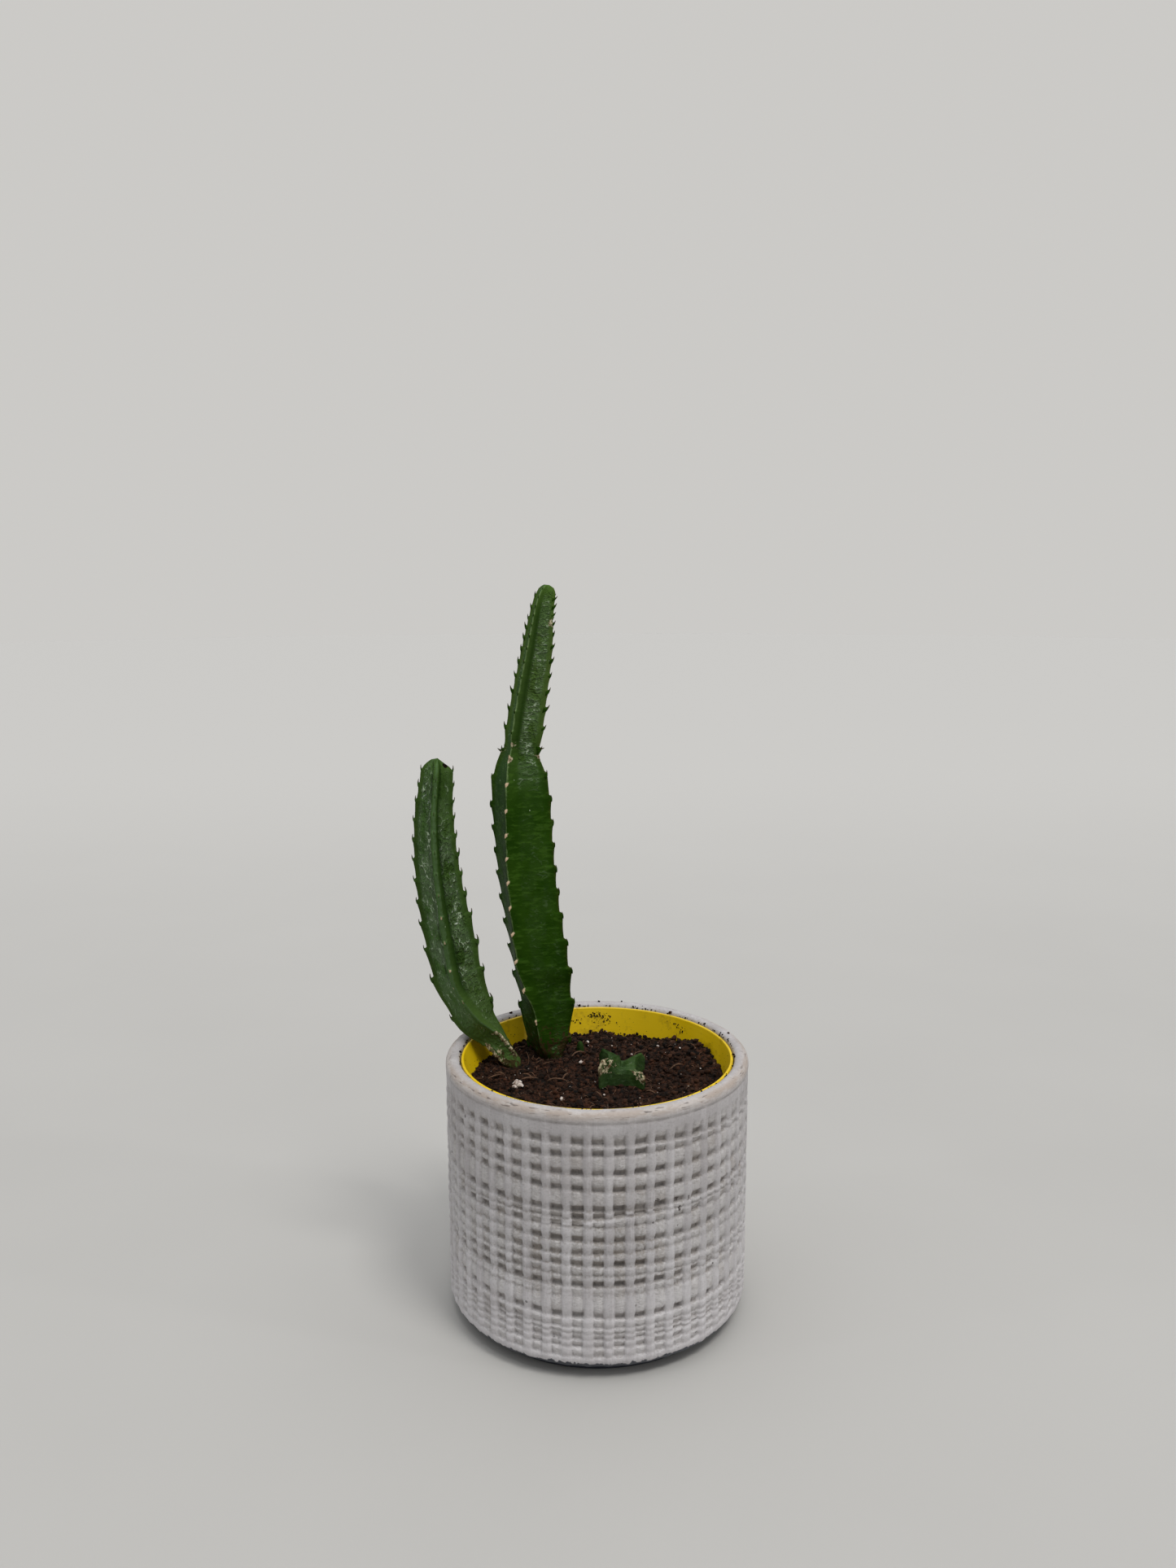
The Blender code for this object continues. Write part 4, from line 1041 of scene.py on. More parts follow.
def window_edges(height, column):
    """How far a place is from its window's middle line, and half the window's width, in columns."""
    nearest = round(column) % COLUMNS
    drift = 0.05 * wander(nearest * 5.7, height * 60.0, 1.5)
    half = WINDOW_HALF - 0.03 * smooth(0.070, 0.020, height)
    half += 0.04 * wander(nearest * 3.3, height * 150.0, 4.5)
    return abs(column - round(column) - drift), half


def cord_depth(off, groove, hollow, uneven):
    """How far the flat cords between the windows are set back, off columns from a window's middle."""
    flank = min(1.0, abs(abs(off) - 0.5) / 0.22)
    dip = CORD_DIP * hollow * (0.4 + 0.6 * uneven)
    return 0.00010 * uneven + CORD_DROOP * flank ** 2 + 0.0003 * groove + dip


def relief_point(height, column, lines, window_depths):
    """Place and marks at a height and a place round the pot, counted in columns."""
    across, along = polar(1.0, math.tau * column / COLUMNS)
    off = column - round(column)
    present = smooth(*RELIEF_FOOT, height) * (1.0 - smooth(*RELIEF_TOP, height))
    from_middle, half = window_edges(height, column)
    window = 1.0 - smooth(half - 0.06, half + 0.05, from_middle)
    groove = groove_share(height, lines, round(column) % COLUMNS, window_depths)
    hollow = 1.0 - belly(height, lines)
    uneven = 1.0 + wander(9 * across, 9 * along, 70 * height)
    cord = cord_depth(off, groove, hollow, uneven)
    pillow = PILLOW_DEPTH * (0.10 + 0.5 * (off / half) ** 2 + 1.1 * hollow)
    crease = CREASE_DEPTH * bell(from_middle - half + 0.02, 0.045)
    depth = cord + (max(pillow, cord) + GROOVE_DEPTH * groove - cord) * window * present + crease * present
    set_back = fold_depth(height, column)
    depth += set_back
    lump = wander(34 * across, 34 * along, 480 * height)
    depth += (LUMP_DEPTHS[0] + LUMP_DEPTHS[1] * window) * (1.0 + lump) * present
    # A crease under the rim: set in a little, with a painted shadow line through the groove mark
    under_rim = bell(height - RIM_CREASE - 0.0006 * wander(3 * across, 3 * along, 2.5), 0.0005)
    depth += RIM_CREASE_DEPTH * under_rim
    radius = pot_outline(height) - POT_SKIN - max(0.0, depth)
    # Painted shade in the windows' grooves and hollows, heavier at the front, and on the cords where the rows
    # cross them
    painted_relief_shade = (groove + window_shade(height, column, hollow)) * window * present
    painted_relief_shade = max(painted_relief_shade, CORD_SHADE * hollow * uneven * present)
    # The groove mark also carries a painted shadow line under the rim crease and painted shade above the
    # folds
    marks = {
        "groove": painted_relief_shade + 0.18 * under_rim + FOLD_SHADE * set_back,
        "window": window * present,
        "stain": stain_at(height, column),
    }
    return (radius * across, radius * along, height), marks


def ring_counts():
    """How many rings of points lie between each row's line and the ledge under the next row."""
    heights = [WALL_START, *(knots[0][1] * MM - ROW_DROP for knots in ROW_GROOVES), WALL_END]
    return [max(2, round((high - low - LEDGE) / POT_LEVEL_STEP)) for low, high in zip(heights, heights[1:])]


def ring_heights(lines, counts):
    """Heights of the wall's rings at a place: one on each row's line and each ledge, the rest even."""
    marks = [WALL_START, *(line for line, _ in lines), WALL_END]
    heights = []
    for low, high, count in zip(marks, marks[1:], counts):
        heights += [low + (high - LEDGE - low) * step / count for step in range(count + 1)]
    return heights + [WALL_END]


def pot_rim(shape):
    """The rounded rim, the bore and the inner floor."""
    outline = [(POT_RADIUS - inset, height, edge) for inset, height, edge in OUTER_RIM]
    outline += [(POT_BORE + outset, height, edge) for outset, height, edge in INNER_RIM]
    rings = []
    for radius, height, edge in outline:
        ring = []
        for column in WALL_COLUMNS:
            across, along = polar(1.0, math.tau * column / COLUMNS)
            uneven = 0.00028 * wander(5 * across, 5 * along, 90 * radius)
            uneven += 0.00012 * wander(26 * across, 26 * along, 300 * radius)
            lifted = height + (uneven if height > 0.1190 else 0.0)
            inset = radius - (0.0001 + abs(uneven) * 0.6 if radius > POT_RADIUS - 0.0020 else 0.0)
            ring.append(shape.point((inset * across, inset * along, lifted), edge=edge))
        rings.append(ring)
    return rings


def make_cover_pot(finish):
    shape = Shape("groove", "window", "edge", "stain")
    foot = ((-0.0008, 0.0), (-0.0003, 0.0003), (0.0, 0.0009), (0.0001, FOOT_HEIGHT - 0.0004))
    rings = [shape.round_ring(len(WALL_COLUMNS), FOOT_RADIUS + outset, height) for outset, height in foot]
    shape.close(rings[0], (0.0, 0.0, 0.0))
    chance = random.Random(WINDOW_SEED)
    window_depths = [[min(1.0, chance.uniform(*WINDOW_DEPTHS)) for _ in range(COLUMNS)] for _ in ROW_GROOVES]
    counts = ring_counts()
    wall = [[] for _ in range(sum(counts) + len(counts) + 1)]
    for column in WALL_COLUMNS:
        lines = row_lines(column)
        for ring, height in zip(wall, ring_heights(lines, counts)):
            place, marks = relief_point(height, column, lines, window_depths)
            ring.append(shape.point(place, edge=0.15 * smooth(0.1150, 0.1175, height), **marks))
    rings += wall + pot_rim(shape)
    shape.join_all(rings)
    shape.close(rings[-1], (0.0, 0.0, POT_FLOOR))
    return piece("cover_pot", shape, finish, "outer_pot")


# Nursery pot


def nursery_wall(height):
    """The nursery pot's outer wall radius at a height over its underside."""
    full = NURSERY_TOP - NURSERY_LIP_HEIGHT - NURSERY_FOOT
    return NURSERY_BASE_RADIUS + (NURSERY_WALL_TOP_RADIUS - NURSERY_BASE_RADIUS) * height / full


def wall_inside(level):
    """The radius of the yellow wall's inner face at a level."""
    top = NURSERY_LIP_RADIUS - NURSERY_LIP_THICKNESS - 0.0004
    foot = NURSERY_TOP - NURSERY_LIP_HEIGHT - 0.0060
    low = nursery_wall(foot - NURSERY_FOOT) - NURSERY_THICKNESS
    return between(((foot, low), (NURSERY_TOP - 0.0030, top)), level)


def drain_cutter(index):
    """A round bar through the floor of the nursery pot."""
    centre = polar(DRAIN_CIRCLE, math.tau * (index + 0.5) / DRAIN_HOLES)
    low, high = NURSERY_FOOT - 0.002, NURSERY_FOOT + 0.003
    shape = Shape()
    rings = [shape.round_ring(36, DRAIN_RADIUS, height, centre) for height in (low, high)]
    shape.join_all(rings)
    shape.close(rings[0], (*centre, low))
    shape.close(rings[1], (*centre, high))
    return add_object("drain", shape.mesh("drain"))


def cut_holes(target, cutters):
    """Takes the cutters out of the target and removes them."""
    for cutter in cutters:
        hole = target.modifiers.new("hole", "BOOLEAN")
        hole.operation = "DIFFERENCE"
        hole.object = cutter
        hole.solver = "EXACT"
        bpy.context.view_layer.objects.active = target
        with bpy.context.temp_override(object=target, active_object=target):
            bpy.ops.object.modifier_apply(modifier=hole.name)
        bpy.data.objects.remove(cutter)


def make_nursery_pot(finish):
    top = NURSERY_TOP - NURSERY_FOOT
    step = top - NURSERY_LIP_HEIGHT
    foot, lip, thick = nursery_wall(0.0), NURSERY_LIP_RADIUS, NURSERY_THICKNESS
    inside = lip - NURSERY_LIP_THICKNESS
    outline = (
        (foot - 0.0010, 0.0), (foot - 0.0003, 0.0003), (foot, 0.0010),
        (nursery_wall(step / 2), step / 2), (nursery_wall(step), step),
        (lip - 0.0006, step + 0.0001), (lip - 0.0001, step + 0.0006),
        (lip, top - 0.0008), (lip - 0.0002, top - 0.0003), (lip - 0.0005, top - 0.00005),
        (inside + 0.0004, top), (inside + 0.0001, top - 0.0002),
        (inside, top - 0.0006), (inside - 0.0004, top - 0.0030),
        (nursery_wall(step - 0.0060) - thick, step - 0.0060), (nursery_wall(step / 2) - thick, step / 2),
        (foot - thick, thick + 0.0008), (foot - thick - 0.0008, thick),
    )
    shape = Shape()
    rings = [shape.round_ring(NURSERY_SIDES, radius, NURSERY_FOOT + height) for radius, height in outline]
    shape.join_all(rings)
    shape.close(rings[0], (0.0, 0.0, NURSERY_FOOT))
    shape.close(rings[-1], (0.0, 0.0, NURSERY_FOOT + NURSERY_THICKNESS))
    made = piece("nursery_pot_skin", shape, finish, "nursery_pot")
    cut_holes(made, [drain_cutter(index) for index in range(DRAIN_HOLES)])
    made.data.set_sharp_from_angle(angle=math.radians(50.0))
    return made


# Potting mix


def soil_surface(x, y):
    """Height of the soil: rough, with a mound at the back right and a dip round each plug."""
    rough = wander(x, y, 0.0, 95.0) + 0.5 * wander(x, y, 0.03, 260.0)
    away = math.hypot(x - MOUND_PLACE[0], y - MOUND_PLACE[1])
    height = SOIL_LEVEL + SOIL_ROUGHNESS * rough + MOUND_HEIGHT * bell(away, MOUND_SPREAD)
    for entry, radius, reach in STANDING:
        near = math.hypot(x - entry[0], y - entry[1]) / (reach + radius)
        height += (SOIL_LEVEL - DIP_DEPTH - height) * math.exp(-(near ** 4))
    return height


def grains(x, y):
    """Height and tone of the crumbs that cover the soil: rounded cells of two sizes."""
    height, tone = 0.0, 0.0
    for scale, tall in GRAINS:
        distances, centres = noise.voronoi(Vector((x, y, 0.0)) * scale)
        height += tall * (0.55 - min(1.0, distances[0]))
        tone += 0.5 * noise.noise(centres[0] * 7.7)
    return height, tone


def crumbly_surface(x, y):
    return soil_surface(x, y) + grains(x, y)[0]


def make_soil(finish):
    underside = NURSERY_FOOT + NURSERY_THICKNESS + SOIL_GAP
    inner = NURSERY_THICKNESS + SOIL_GAP
    wall_foot = nursery_wall(0.0) - inner
    wall_top = nursery_wall(SOIL_LEVEL - POT_FLOOR) - inner
    shape = Shape("tone")
    rings = [shape.round_ring(SOIL_SIDES, wall_foot - 0.0004, underside, tone=0.3)]
    shape.close(rings[0], (0.0, 0.0, underside), tone=0.3)
    for index in range(SOIL_RINGS):
        radius = wall_top * (1.0 - index / SOIL_RINGS)
        ring = []
        for side in range(SOIL_SIDES):
            x, y = polar(radius, math.tau * side / SOIL_SIDES)
            ring.append(shape.point((x, y, crumbly_surface(x, y)), tone=0.35 + grains(x, y)[1]))
        rings.append(ring)
    shape.join_all(rings)
    shape.close(rings[-1], (0.0, 0.0, soil_surface(0.0, 0.0)), tone=0.3)
    return piece("potting_mix", shape, finish, "soil")


def octahedron():
    corners = [Vector(axis) * sign for axis in ((1, 0, 0), (0, 1, 0), (0, 0, 1)) for sign in (1, -1)]
    faces = [(a, b, c) for a in (0, 1) for b in (2, 3) for c in (4, 5)]
    return corners, faces


def icosahedron():
    golden = (1 + math.sqrt(5)) / 2
    corners = []
    for one in (-1, 1):
        for other in (-golden, golden):
            corners += [Vector((0, one, other)), Vector((one, other, 0)), Vector((other, 0, one))]
    corners = [corner.normalized() for corner in corners]
    edge = 1.1  # a little over the length of an edge
    faces = []
    for face in itertools.combinations(range(12), 3):
        if all((corners[a] - corners[b]).length < edge for a, b in itertools.combinations(face, 2)):
            faces.append(face)
    return corners, faces


def subdivided(corners, faces):
    """The same ball with each face cut in four."""
    corners = list(corners)
    halves = {}
    cut = []
    for a, b, c in faces:
        middles = []
        for pair in ((a, b), (b, c), (c, a)):
            key = tuple(sorted(pair))
            if key not in halves:
                halves[key] = len(corners)
                corners.append(((corners[pair[0]] + corners[pair[1]]) / 2).normalized())
            middles.append(halves[key])
        ab, bc, ca = middles
        cut += [(a, ab, ca), (b, bc, ab), (c, ca, bc), (ab, bc, ca)]
    return corners, cut


OCTAHEDRON = octahedron()
ICOSAHEDRON = icosahedron()
BALL = subdivided(*ICOSAHEDRON)


def add_lump(shape, ball, centre, size, chance, stretch=(1.0, 1.0, 1.0), rough=0.28, **values):
    """A rough lump. It draws its turn and the length of each of its corners from chance."""
    turn = Matrix.Rotation(chance.uniform(0, math.tau), 3, "Z")
    turn = turn @ Matrix.Rotation(chance.uniform(-0.6, 0.6), 3, "X")
    first = len(shape.points)
    for corner in ball[0]:
        reach = size * chance.uniform(1.0 - rough, 1.0 + rough)
        point = Vector(part * factor for part, factor in zip(corner, stretch)) * reach
        shape.point(Vector(centre) + turn @ point, **values)
    for face in ball[1]:
        shape.faces.append(tuple(first + corner for corner in face))


def on_soil(chance, reach=SOIL_REACH):
    """A random place on the soil, outside everything that stands in it."""
    while True:
        angle, away = chance.uniform(0, math.tau), reach * math.sqrt(chance.random())
        x, y = polar(away, angle)
        if all(math.hypot(x - entry[0], y - entry[1]) > radius * 1.05 for entry, radius, _ in STANDING):
            return x, y


def crumb_tone(chance):
    return min(1.0, max(0.0, chance.gauss(0.38, 0.24)))


def add_crumb(shape, ball, place, size, chance, *form):
    """A lump with a tone of its own. form is its stretch and its roughness, where they differ."""
    add_lump(shape, ball, place, size, chance, *form, tone=crumb_tone(chance))


def make_crumbs(finish):
    """Loose crumbs all over the soil, coarse ones and fine ones."""
    chance = random.Random(CRUMB_SEED)
    coarse = Shape("tone")
    for _ in range(LUMP_COUNT):
        x, y = on_soil(chance)
        size = chance.uniform(*LUMP_SIZES)
        height = soil_surface(x, y) - size * chance.uniform(0.0, 0.45)
        add_crumb(coarse, BALL, (x, y, height), size, chance, (1.0, 0.8, 0.75), 0.22)
    for _ in range(CRUMB_COUNT):
        x, y = on_soil(chance)
        size = 0.00050 + 0.00130 * chance.random() ** 2.6
        height = crumbly_surface(x, y) + size * chance.uniform(-0.2, 0.7)
        stretch = (1.0, chance.uniform(0.6, 1.0), chance.uniform(0.5, 0.9))
        add_crumb(coarse, ICOSAHEDRON, (x, y, height), size, chance, stretch)
    piece("coarse_crumbs", coarse, finish)
    fine = Shape("tone")
    for _ in range(FINE_CRUMB_COUNT):
        x, y = on_soil(chance)
        size = chance.uniform(*FINE_CRUMB_SIZES)
        height = crumbly_surface(x, y) + size * chance.uniform(0.0, 0.9)
        add_crumb(fine, OCTAHEDRON, (x, y, height), size, chance)
    piece("fine_crumbs", fine, finish)


def make_heaps(finish):
    """Crumbs pushed up against the stems' feet, the stub and the yellow wall."""
    chance = random.Random(HEAP_SEED)
    heaps = Shape("tone")
    for entry, radius, count in HEAPS:
        for _ in range(count):
            angle = chance.uniform(0, math.tau)
            away = radius * (0.95 + 0.9 * chance.random() ** 1.6)
            x, y, _ = around(entry, away, angle)
            size = 0.0004 + 0.0009 * chance.random() ** 2
            lifted = 0.0012 * max(0.0, 1.3 - away / radius) * chance.random()
            height = soil_surface(x, y) + lifted + size * 0.4
            add_crumb(heaps, ICOSAHEDRON, (x, y, height), size, chance)
    for _ in range(WALL_HEAP_COUNT):
        angle = chance.uniform(0, math.tau)
        x, y = polar(0.0586 - 0.0011 * chance.random(), angle)
        size = 0.0003 + 0.0006 * chance.random() ** 2
        height = soil_surface(x, y) + size * chance.uniform(0.2, 1.6)
        add_crumb(heaps, ICOSAHEDRON, (x, y, height), size, chance)
    piece("heaped_crumbs", heaps, finish)


def add_fibre(shape, start, heading, length, thickness, chance, tone):
    """A thin bent fibre of four sides that lies on the soil."""
    rings = []
    x, y = start
    for step in range(FIBRE_STEPS + 1):
        share = step / FIBRE_STEPS
        height = soil_surface(x, y) + 0.0009 + thickness * 2 + 0.0009 * math.sin(math.pi * share)
        width = thickness * (0.45 + 0.55 * math.sin(math.pi * (0.1 + 0.8 * share)))
        places = []
        for turn in (0.0, math.tau / 4, math.tau / 2, math.tau * 3 / 4):
            out, up = width * math.cos(turn), width * 0.6 * math.sin(turn)
            places.append((x - out * math.sin(heading), y + out * math.cos(heading), height + up))
        rings.append(shape.ring(places, tone=tone))
        heading += chance.uniform(-0.14, 0.14)
        x += length / FIBRE_STEPS * math.cos(heading)
        y += length / FIBRE_STEPS * math.sin(heading)
    shape.join_all(rings)
    shape.faces += [tuple(rings[0]), tuple(rings[-1])]


def make_fibres(finish):
    chance = random.Random(FIBRE_SEED)
    fibres = Shape("tone")
    for _ in range(FIBRE_COUNT):
        start = on_soil(chance, FIBRE_REACH)
        length = 0.0018 + 0.0052 * chance.random() ** 2
        thickness = chance.uniform(*FIBRE_THICKNESSES)
        heading = chance.uniform(0, math.tau)
        add_fibre(fibres, start, heading, length, thickness, chance, chance.uniform(0.0, 0.7))
    for x, y, heading, length in SLIVERS:
        add_fibre(fibres, (x * MM, y * MM), heading, length * MM, SLIVER_THICKNESS, chance, 0.5)
    piece("fibres", fibres, finish)


def make_perlite(finish):
    chance = random.Random(PERLITE_SEED)
    grit = Shape()
    places = [tuple(value * MM for value in grain) for grain in PERLITE]
    for _ in range(GRIT_COUNT):
        places.append((*on_soil(chance), 0.0, chance.uniform(*GRIT_SIZES)))
    flat = (1.0, 0.8, 0.7)
    for x, y, lift, size in places:
        height = soil_surface(x, y) + 0.0008 + size * 0.4 + lift
        add_lump(grit, ICOSAHEDRON, (x, y, height), size, chance, flat, 0.42)
        if size > KERNEL_SIZE:
            beside = (x + 0.4 * size, y - 0.3 * size, height - 0.2 * size)
            add_lump(grit, BALL, beside, 0.8 * size, chance, flat, 0.25)
    piece("perlite", grit, finish)


def add_rim_crumbs(stray, chance):
    """Crumbs on the white rim and the yellow lip, and fine ones in the gap between them."""
    for x, y, size in RIM_CRUMBS:
        height = RIM_CRUMB_LEVEL if math.hypot(x, y) > 64.5 else LIP_CRUMB_LEVEL
        add_lump(stray, BALL, (x * MM, y * MM, height), size * MM, chance, (1.0, 0.8, 0.6), tone=0.1)
    for _ in range(GAP_CRUMB_COUNT):
        angle = chance.uniform(0, math.tau)
        away = chance.gauss(GAP_RADIUS, GAP_SPREAD)
        place = (*polar(away, angle), 0.1203 + 0.0012 * smooth(GAP_RADIUS, 0.0645, away))
        add_lump(stray, ICOSAHEDRON, place, chance.uniform(*GAP_CRUMB_SIZES), chance, tone=0.15)


def add_wall_crumbs(stray, chance):
    """Crumbs on the yellow wall over the soil: clusters at the back, and dust all round."""
    thin = (1.0, 0.5, 1.0)
    for x, z, count, spread in WALL_CRUMBS:
        for _ in range(count):
            across = (x + chance.gauss(0, spread)) * MM
            level = (z + chance.gauss(0, spread * 0.4)) * MM
            radius = wall_inside(level)
            place = (across, math.sqrt(radius * radius - across * across), level)
            add_lump(stray, ICOSAHEDRON, place, chance.uniform(*WALL_CRUMB_SIZES), chance, thin, tone=0.2)
    for _ in range(WALL_DUST_COUNT):
        angle = chance.uniform(0, math.tau)
        level = 0.1085 + 0.0095 * chance.random() ** 2
        place = (*polar(wall_inside(level), angle), level)
        add_lump(stray, OCTAHEDRON, place, chance.uniform(*WALL_DUST_SIZES), chance, tone=0.2)


def make_stray_crumbs(finish):
    chance = random.Random(STRAY_SEED)
    stray = Shape("tone")
    add_rim_crumbs(stray, chance)
    add_wall_crumbs(stray, chance)
    piece("stray_crumbs", stray, finish)


# Stems


def smooth_stations(stations):
    """Closely spaced stations on a smooth curve through the given ones."""
    dense = []
    last = len(stations) - 1
    for index in range(last):
        four = [stations[min(max(index + more, 0), last)] for more in (-1, 0, 1, 2)]
        for step in range(SMOOTH_STEPS):
            t = step / SMOOTH_STEPS
            weights = (
                (-t + 2 * t * t - t ** 3) / 2,
                (2 - 5 * t * t + 3 * t ** 3) / 2,
                (t + 4 * t * t - 3 * t ** 3) / 2,
                (-t * t + t ** 3) / 2,
            )
            dense.append([sum(w * row[axis] for w, row in zip(weights, four)) for axis in range(5)])
    dense.append(list(stations[last]))
    return dense


def section_share(angle, hollow):
    """Radius of the ribbed section over the ribs' reach: a round when hollow is 1, else a star."""
    power = 1.0 / (0.5 - math.log2(hollow))
    spread = abs(math.cos(angle)) ** power + abs(math.sin(angle)) ** power
    return spread ** (-1.0 / power)


class Stem:
    """A stem's middle line, its teeth and the looks of its ribs, read by the length along it."""

    def __init__(self, entry, stations, hollows, teeth, looks):
        self.entry = Vector(entry)
        self.rows = smooth_stations(stations)
        self.lengths = [0.0]
        for before, after in zip(self.rows, self.rows[1:]):
            self.lengths.append(self.lengths[-1] + math.dist(before[:3], after[:3]))
        self.length = self.lengths[-1]
        self.hollows = hollows
        self.teeth = self.tooth_places(*teeth)
        self.looks = looks

    def row(self, along):
        """Point, reach and turn at a length along the line."""
        for index in range(len(self.rows) - 1):
            if along <= self.lengths[index + 1]:
                break
        start, end = self.lengths[index], self.lengths[index + 1]
        share = min(1.0, max(0.0, (along - start) / (end - start)))
        mixed = [low + (high - low) * share for low, high in zip(self.rows[index], self.rows[index + 1])]
        return Vector(mixed[:3]) + self.entry, mixed[3], math.radians(mixed[4])

    def frame(self, along):
        """The two directions across the stem and the one along it."""
        before = self.row(max(0.0, along - 0.002))[0]
        after = self.row(min(self.length, along + 0.002))[0]
        upward = (after - before).normalized()
        side = (Vector((1.0, 0.0, 0.0)) - upward * upward.x).normalized()
        return side, upward.cross(side), upward

    def tooth_places(self, pitch_points, first, behind, slips):
        """Lengths along the stem at which the teeth stand, for each rib."""
        pairs = ([], [])
        end = self.length - TIP_LENGTH / 2
        along = first
        while along < end:
            pitch = between(pitch_points, along / self.length)
            pairs[0].append(along)
            if along + behind * pitch < end:
                pairs[1].append(along + behind * pitch)
            along += pitch
        return [[self.slipped(tooth, slips[rib]) for tooth in pairs[rib % 2]] for rib in range(RIBS)]

    def slipped(self, along, slip):
        return along - slip * max(0.0, min(1.0, along / SLIP_START, (self.length - along) / SLIP_END))

    def hollow(self, along):
        """How hollow the faces are: not at all at the round base, less again at the tip."""
        opened = min(1.0, along / BASE_LENGTH)
        tip = max(0.0, 1.0 - (self.length - along) / TIP_LENGTH)
        return 1.0 - (1.0 - between(self.hollows, along / self.length)) * opened + TIP_ROUNDING * tip

    def growth(self, along, rib, reach):
        """How far a rib's edge stands out: it widens slowly up to each tooth, then steps in."""
        teeth = self.teeth[rib]
        above = next((tooth for tooth in teeth if tooth >= along), None)
        below = max((tooth for tooth in teeth if tooth < along), default=None)
        if above is None or below is None:
            return 0.0
        risen = ((along - below) / (above - below)) ** 1.5 - 0.5
        settled = smooth(0.0, NOTCH_RISE, along - below)
        swing = between(self.looks["swing"], along / self.length)
        return swing * reach * (0.5 + (risen - 0.5) * settled)


def crest_bead(radius, tip, bead, turn):
    """The section's radius with its sharp crest rounded into a bead."""
    middle = tip - bead
    across = middle * math.sin(turn)
    if abs(across) >= bead:
        return radius
    return max(radius, middle * math.cos(turn) + math.sqrt(bead * bead - across * across))


class Level:
    """A stem's cross-section at a length along it."""

    def __init__(self, stem, along):
        self.stem = stem
        self.along = along
        self.share = along / stem.length
        self.centre, self.reach, self.turned = stem.row(along)
        self.side, self.across, self.upward = stem.frame(along)
        self.hollow = stem.hollow(along)

    def outward(self, degrees):
        """The direction out from the middle line, in degrees from the first rib."""
        direction = math.radians(degrees) + self.turned
        return self.side * math.cos(direction) + self.across * math.sin(direction)

    def look(self, name):
        return between(self.stem.looks[name], self.share)


class Spot:
    """A place on a stem's skin: its level, the rib before it and the degrees from that rib's crest."""

    def __init__(self, level, rib, turn):
        self.level = level
        self.rib = rib
        self.turn = turn
        self.nearest = nearest_rib(rib, turn)
        self.from_crest = min(turn, QUARTER - turn)
        self.signed = turn if turn <= QUARTER / 2 else turn - QUARTER
        self.outward = level.outward(QUARTER * rib + turn)
        self.from_edge = self.from_crest * math.radians(1) * level.reach
        teeth = level.stem.teeth[self.nearest]
        self.near_tooth = min((abs(level.along - tooth) for tooth in teeth), default=1.0)

    def look(self, name):
        return self.level.stem.looks[name]


def nearest_rib(rib, turn):
    return (rib + (1 if turn > QUARTER / 2 else 0)) % RIBS


def mark_at(marks, place):
    """The strongest of the marks at a place."""
    strongest = 0.0
    for x, y, z, wide, strength in marks:
        away = (place - Vector((x, y, z)) * MM).length
        if away < 3 * wide * MM:
            strongest = max(strongest, strength * bell(away, wide * MM))
    return strongest


def bare_radius(spot):
    """The radius of the ribbed section with its saw-toothed edge and its rounded crest."""
    level = spot.level
    growth = level.stem.growth(level.along, spot.nearest, level.reach)
    radius = level.reach * section_share(math.radians(spot.turn), level.hollow)
    radius += growth * bell(spot.from_crest, EDGE_REACH)
    bead = min(between(spot.look("beads")[spot.nearest], level.share) * MM, level.reach * 0.4)
    return crest_bead(radius, level.reach + growth, bead, math.radians(spot.from_crest))


def furrowed(spot, radius):
    """The radius less the furrows that run along the ribs, and how strong they are."""
    strongest = 0.0
    share = spot.level.share
    for rib, middle, width, deep, low, high in spot.look("furrows"):
        if rib == spot.nearest:
            here = within(low, high, FURROW_FADE, FURROW_FADE, share)
            strongest = max(strongest, bell(spot.signed - middle, width) * here)
            radius -= deep * MM * bell(spot.signed - middle, width) * here
    return radius, strongest


def wrinkled_at(spot):
    """How wrinkled the skin is: not at the crests, and not on the band right of the front crest."""
    wrinkled = between(spot.look("wrinkled")[spot.rib], spot.level.share) * smooth(5.0, 14.0, spot.from_crest)
    if spot.nearest == FRONT_RIB and spot.signed > 0.0:
        band = spot.look("smooth_band")
        wrinkled *= smooth(band, band + 12.0, spot.signed)
    return wrinkled


def folds_at(place):
    """Coarse folds of the skin: soft ones, and sharper ones between them."""
    folds = wander(place.x * 150.0, place.y * 150.0, place.z * 230.0)
    folds += 0.6 * (0.5 - abs(wander(place.x * 260.0, place.y * 260.0, place.z * 380.0))) * 2.0
    return folds


def slant(spot, place):
    """Lowers one side of the tip."""
    level = spot.level
    aside = (place - level.centre).x / level.reach
    length = level.stem.length
    tipped = spot.look("slanted") * MM * smooth(length - 0.0060, length, level.along)
    return place - level.upward * tipped * smooth(-0.15, 0.9, aside)


def roughen(spot, place):
    """Moves a place by the ragged crusts on a rib's edge and by the swellings and hollows."""
    along = spot.level.along
    for rib, low, high, _ in spot.look("crusts"):
        if rib == spot.nearest and low < along / MM < high:
            ragged = wander(along * 900.0, rib * 3.7, 2.5)
            place = place + spot.outward * CRUST_HEIGHT * ragged * bell(spot.from_crest, 12.0)
    for x, y, z, wide, out in spot.look("dents"):
        away = (place - Vector((x, y, z)) * MM).length
        place = place + spot.outward * out * MM * bell(away, wide * MM)
    return place


def crusted_at(spot):
    """How corky the crusts on the rib's edge are."""
    crusted = 0.0
    along = spot.level.along / MM
    for rib, low, high, strength in spot.look("crusts"):
        if rib == spot.nearest:
            here = within(low, high, *CRUST_FADES, along)
            crusted = max(crusted, strength * here * bell(spot.from_edge, 0.0015))
    return crusted


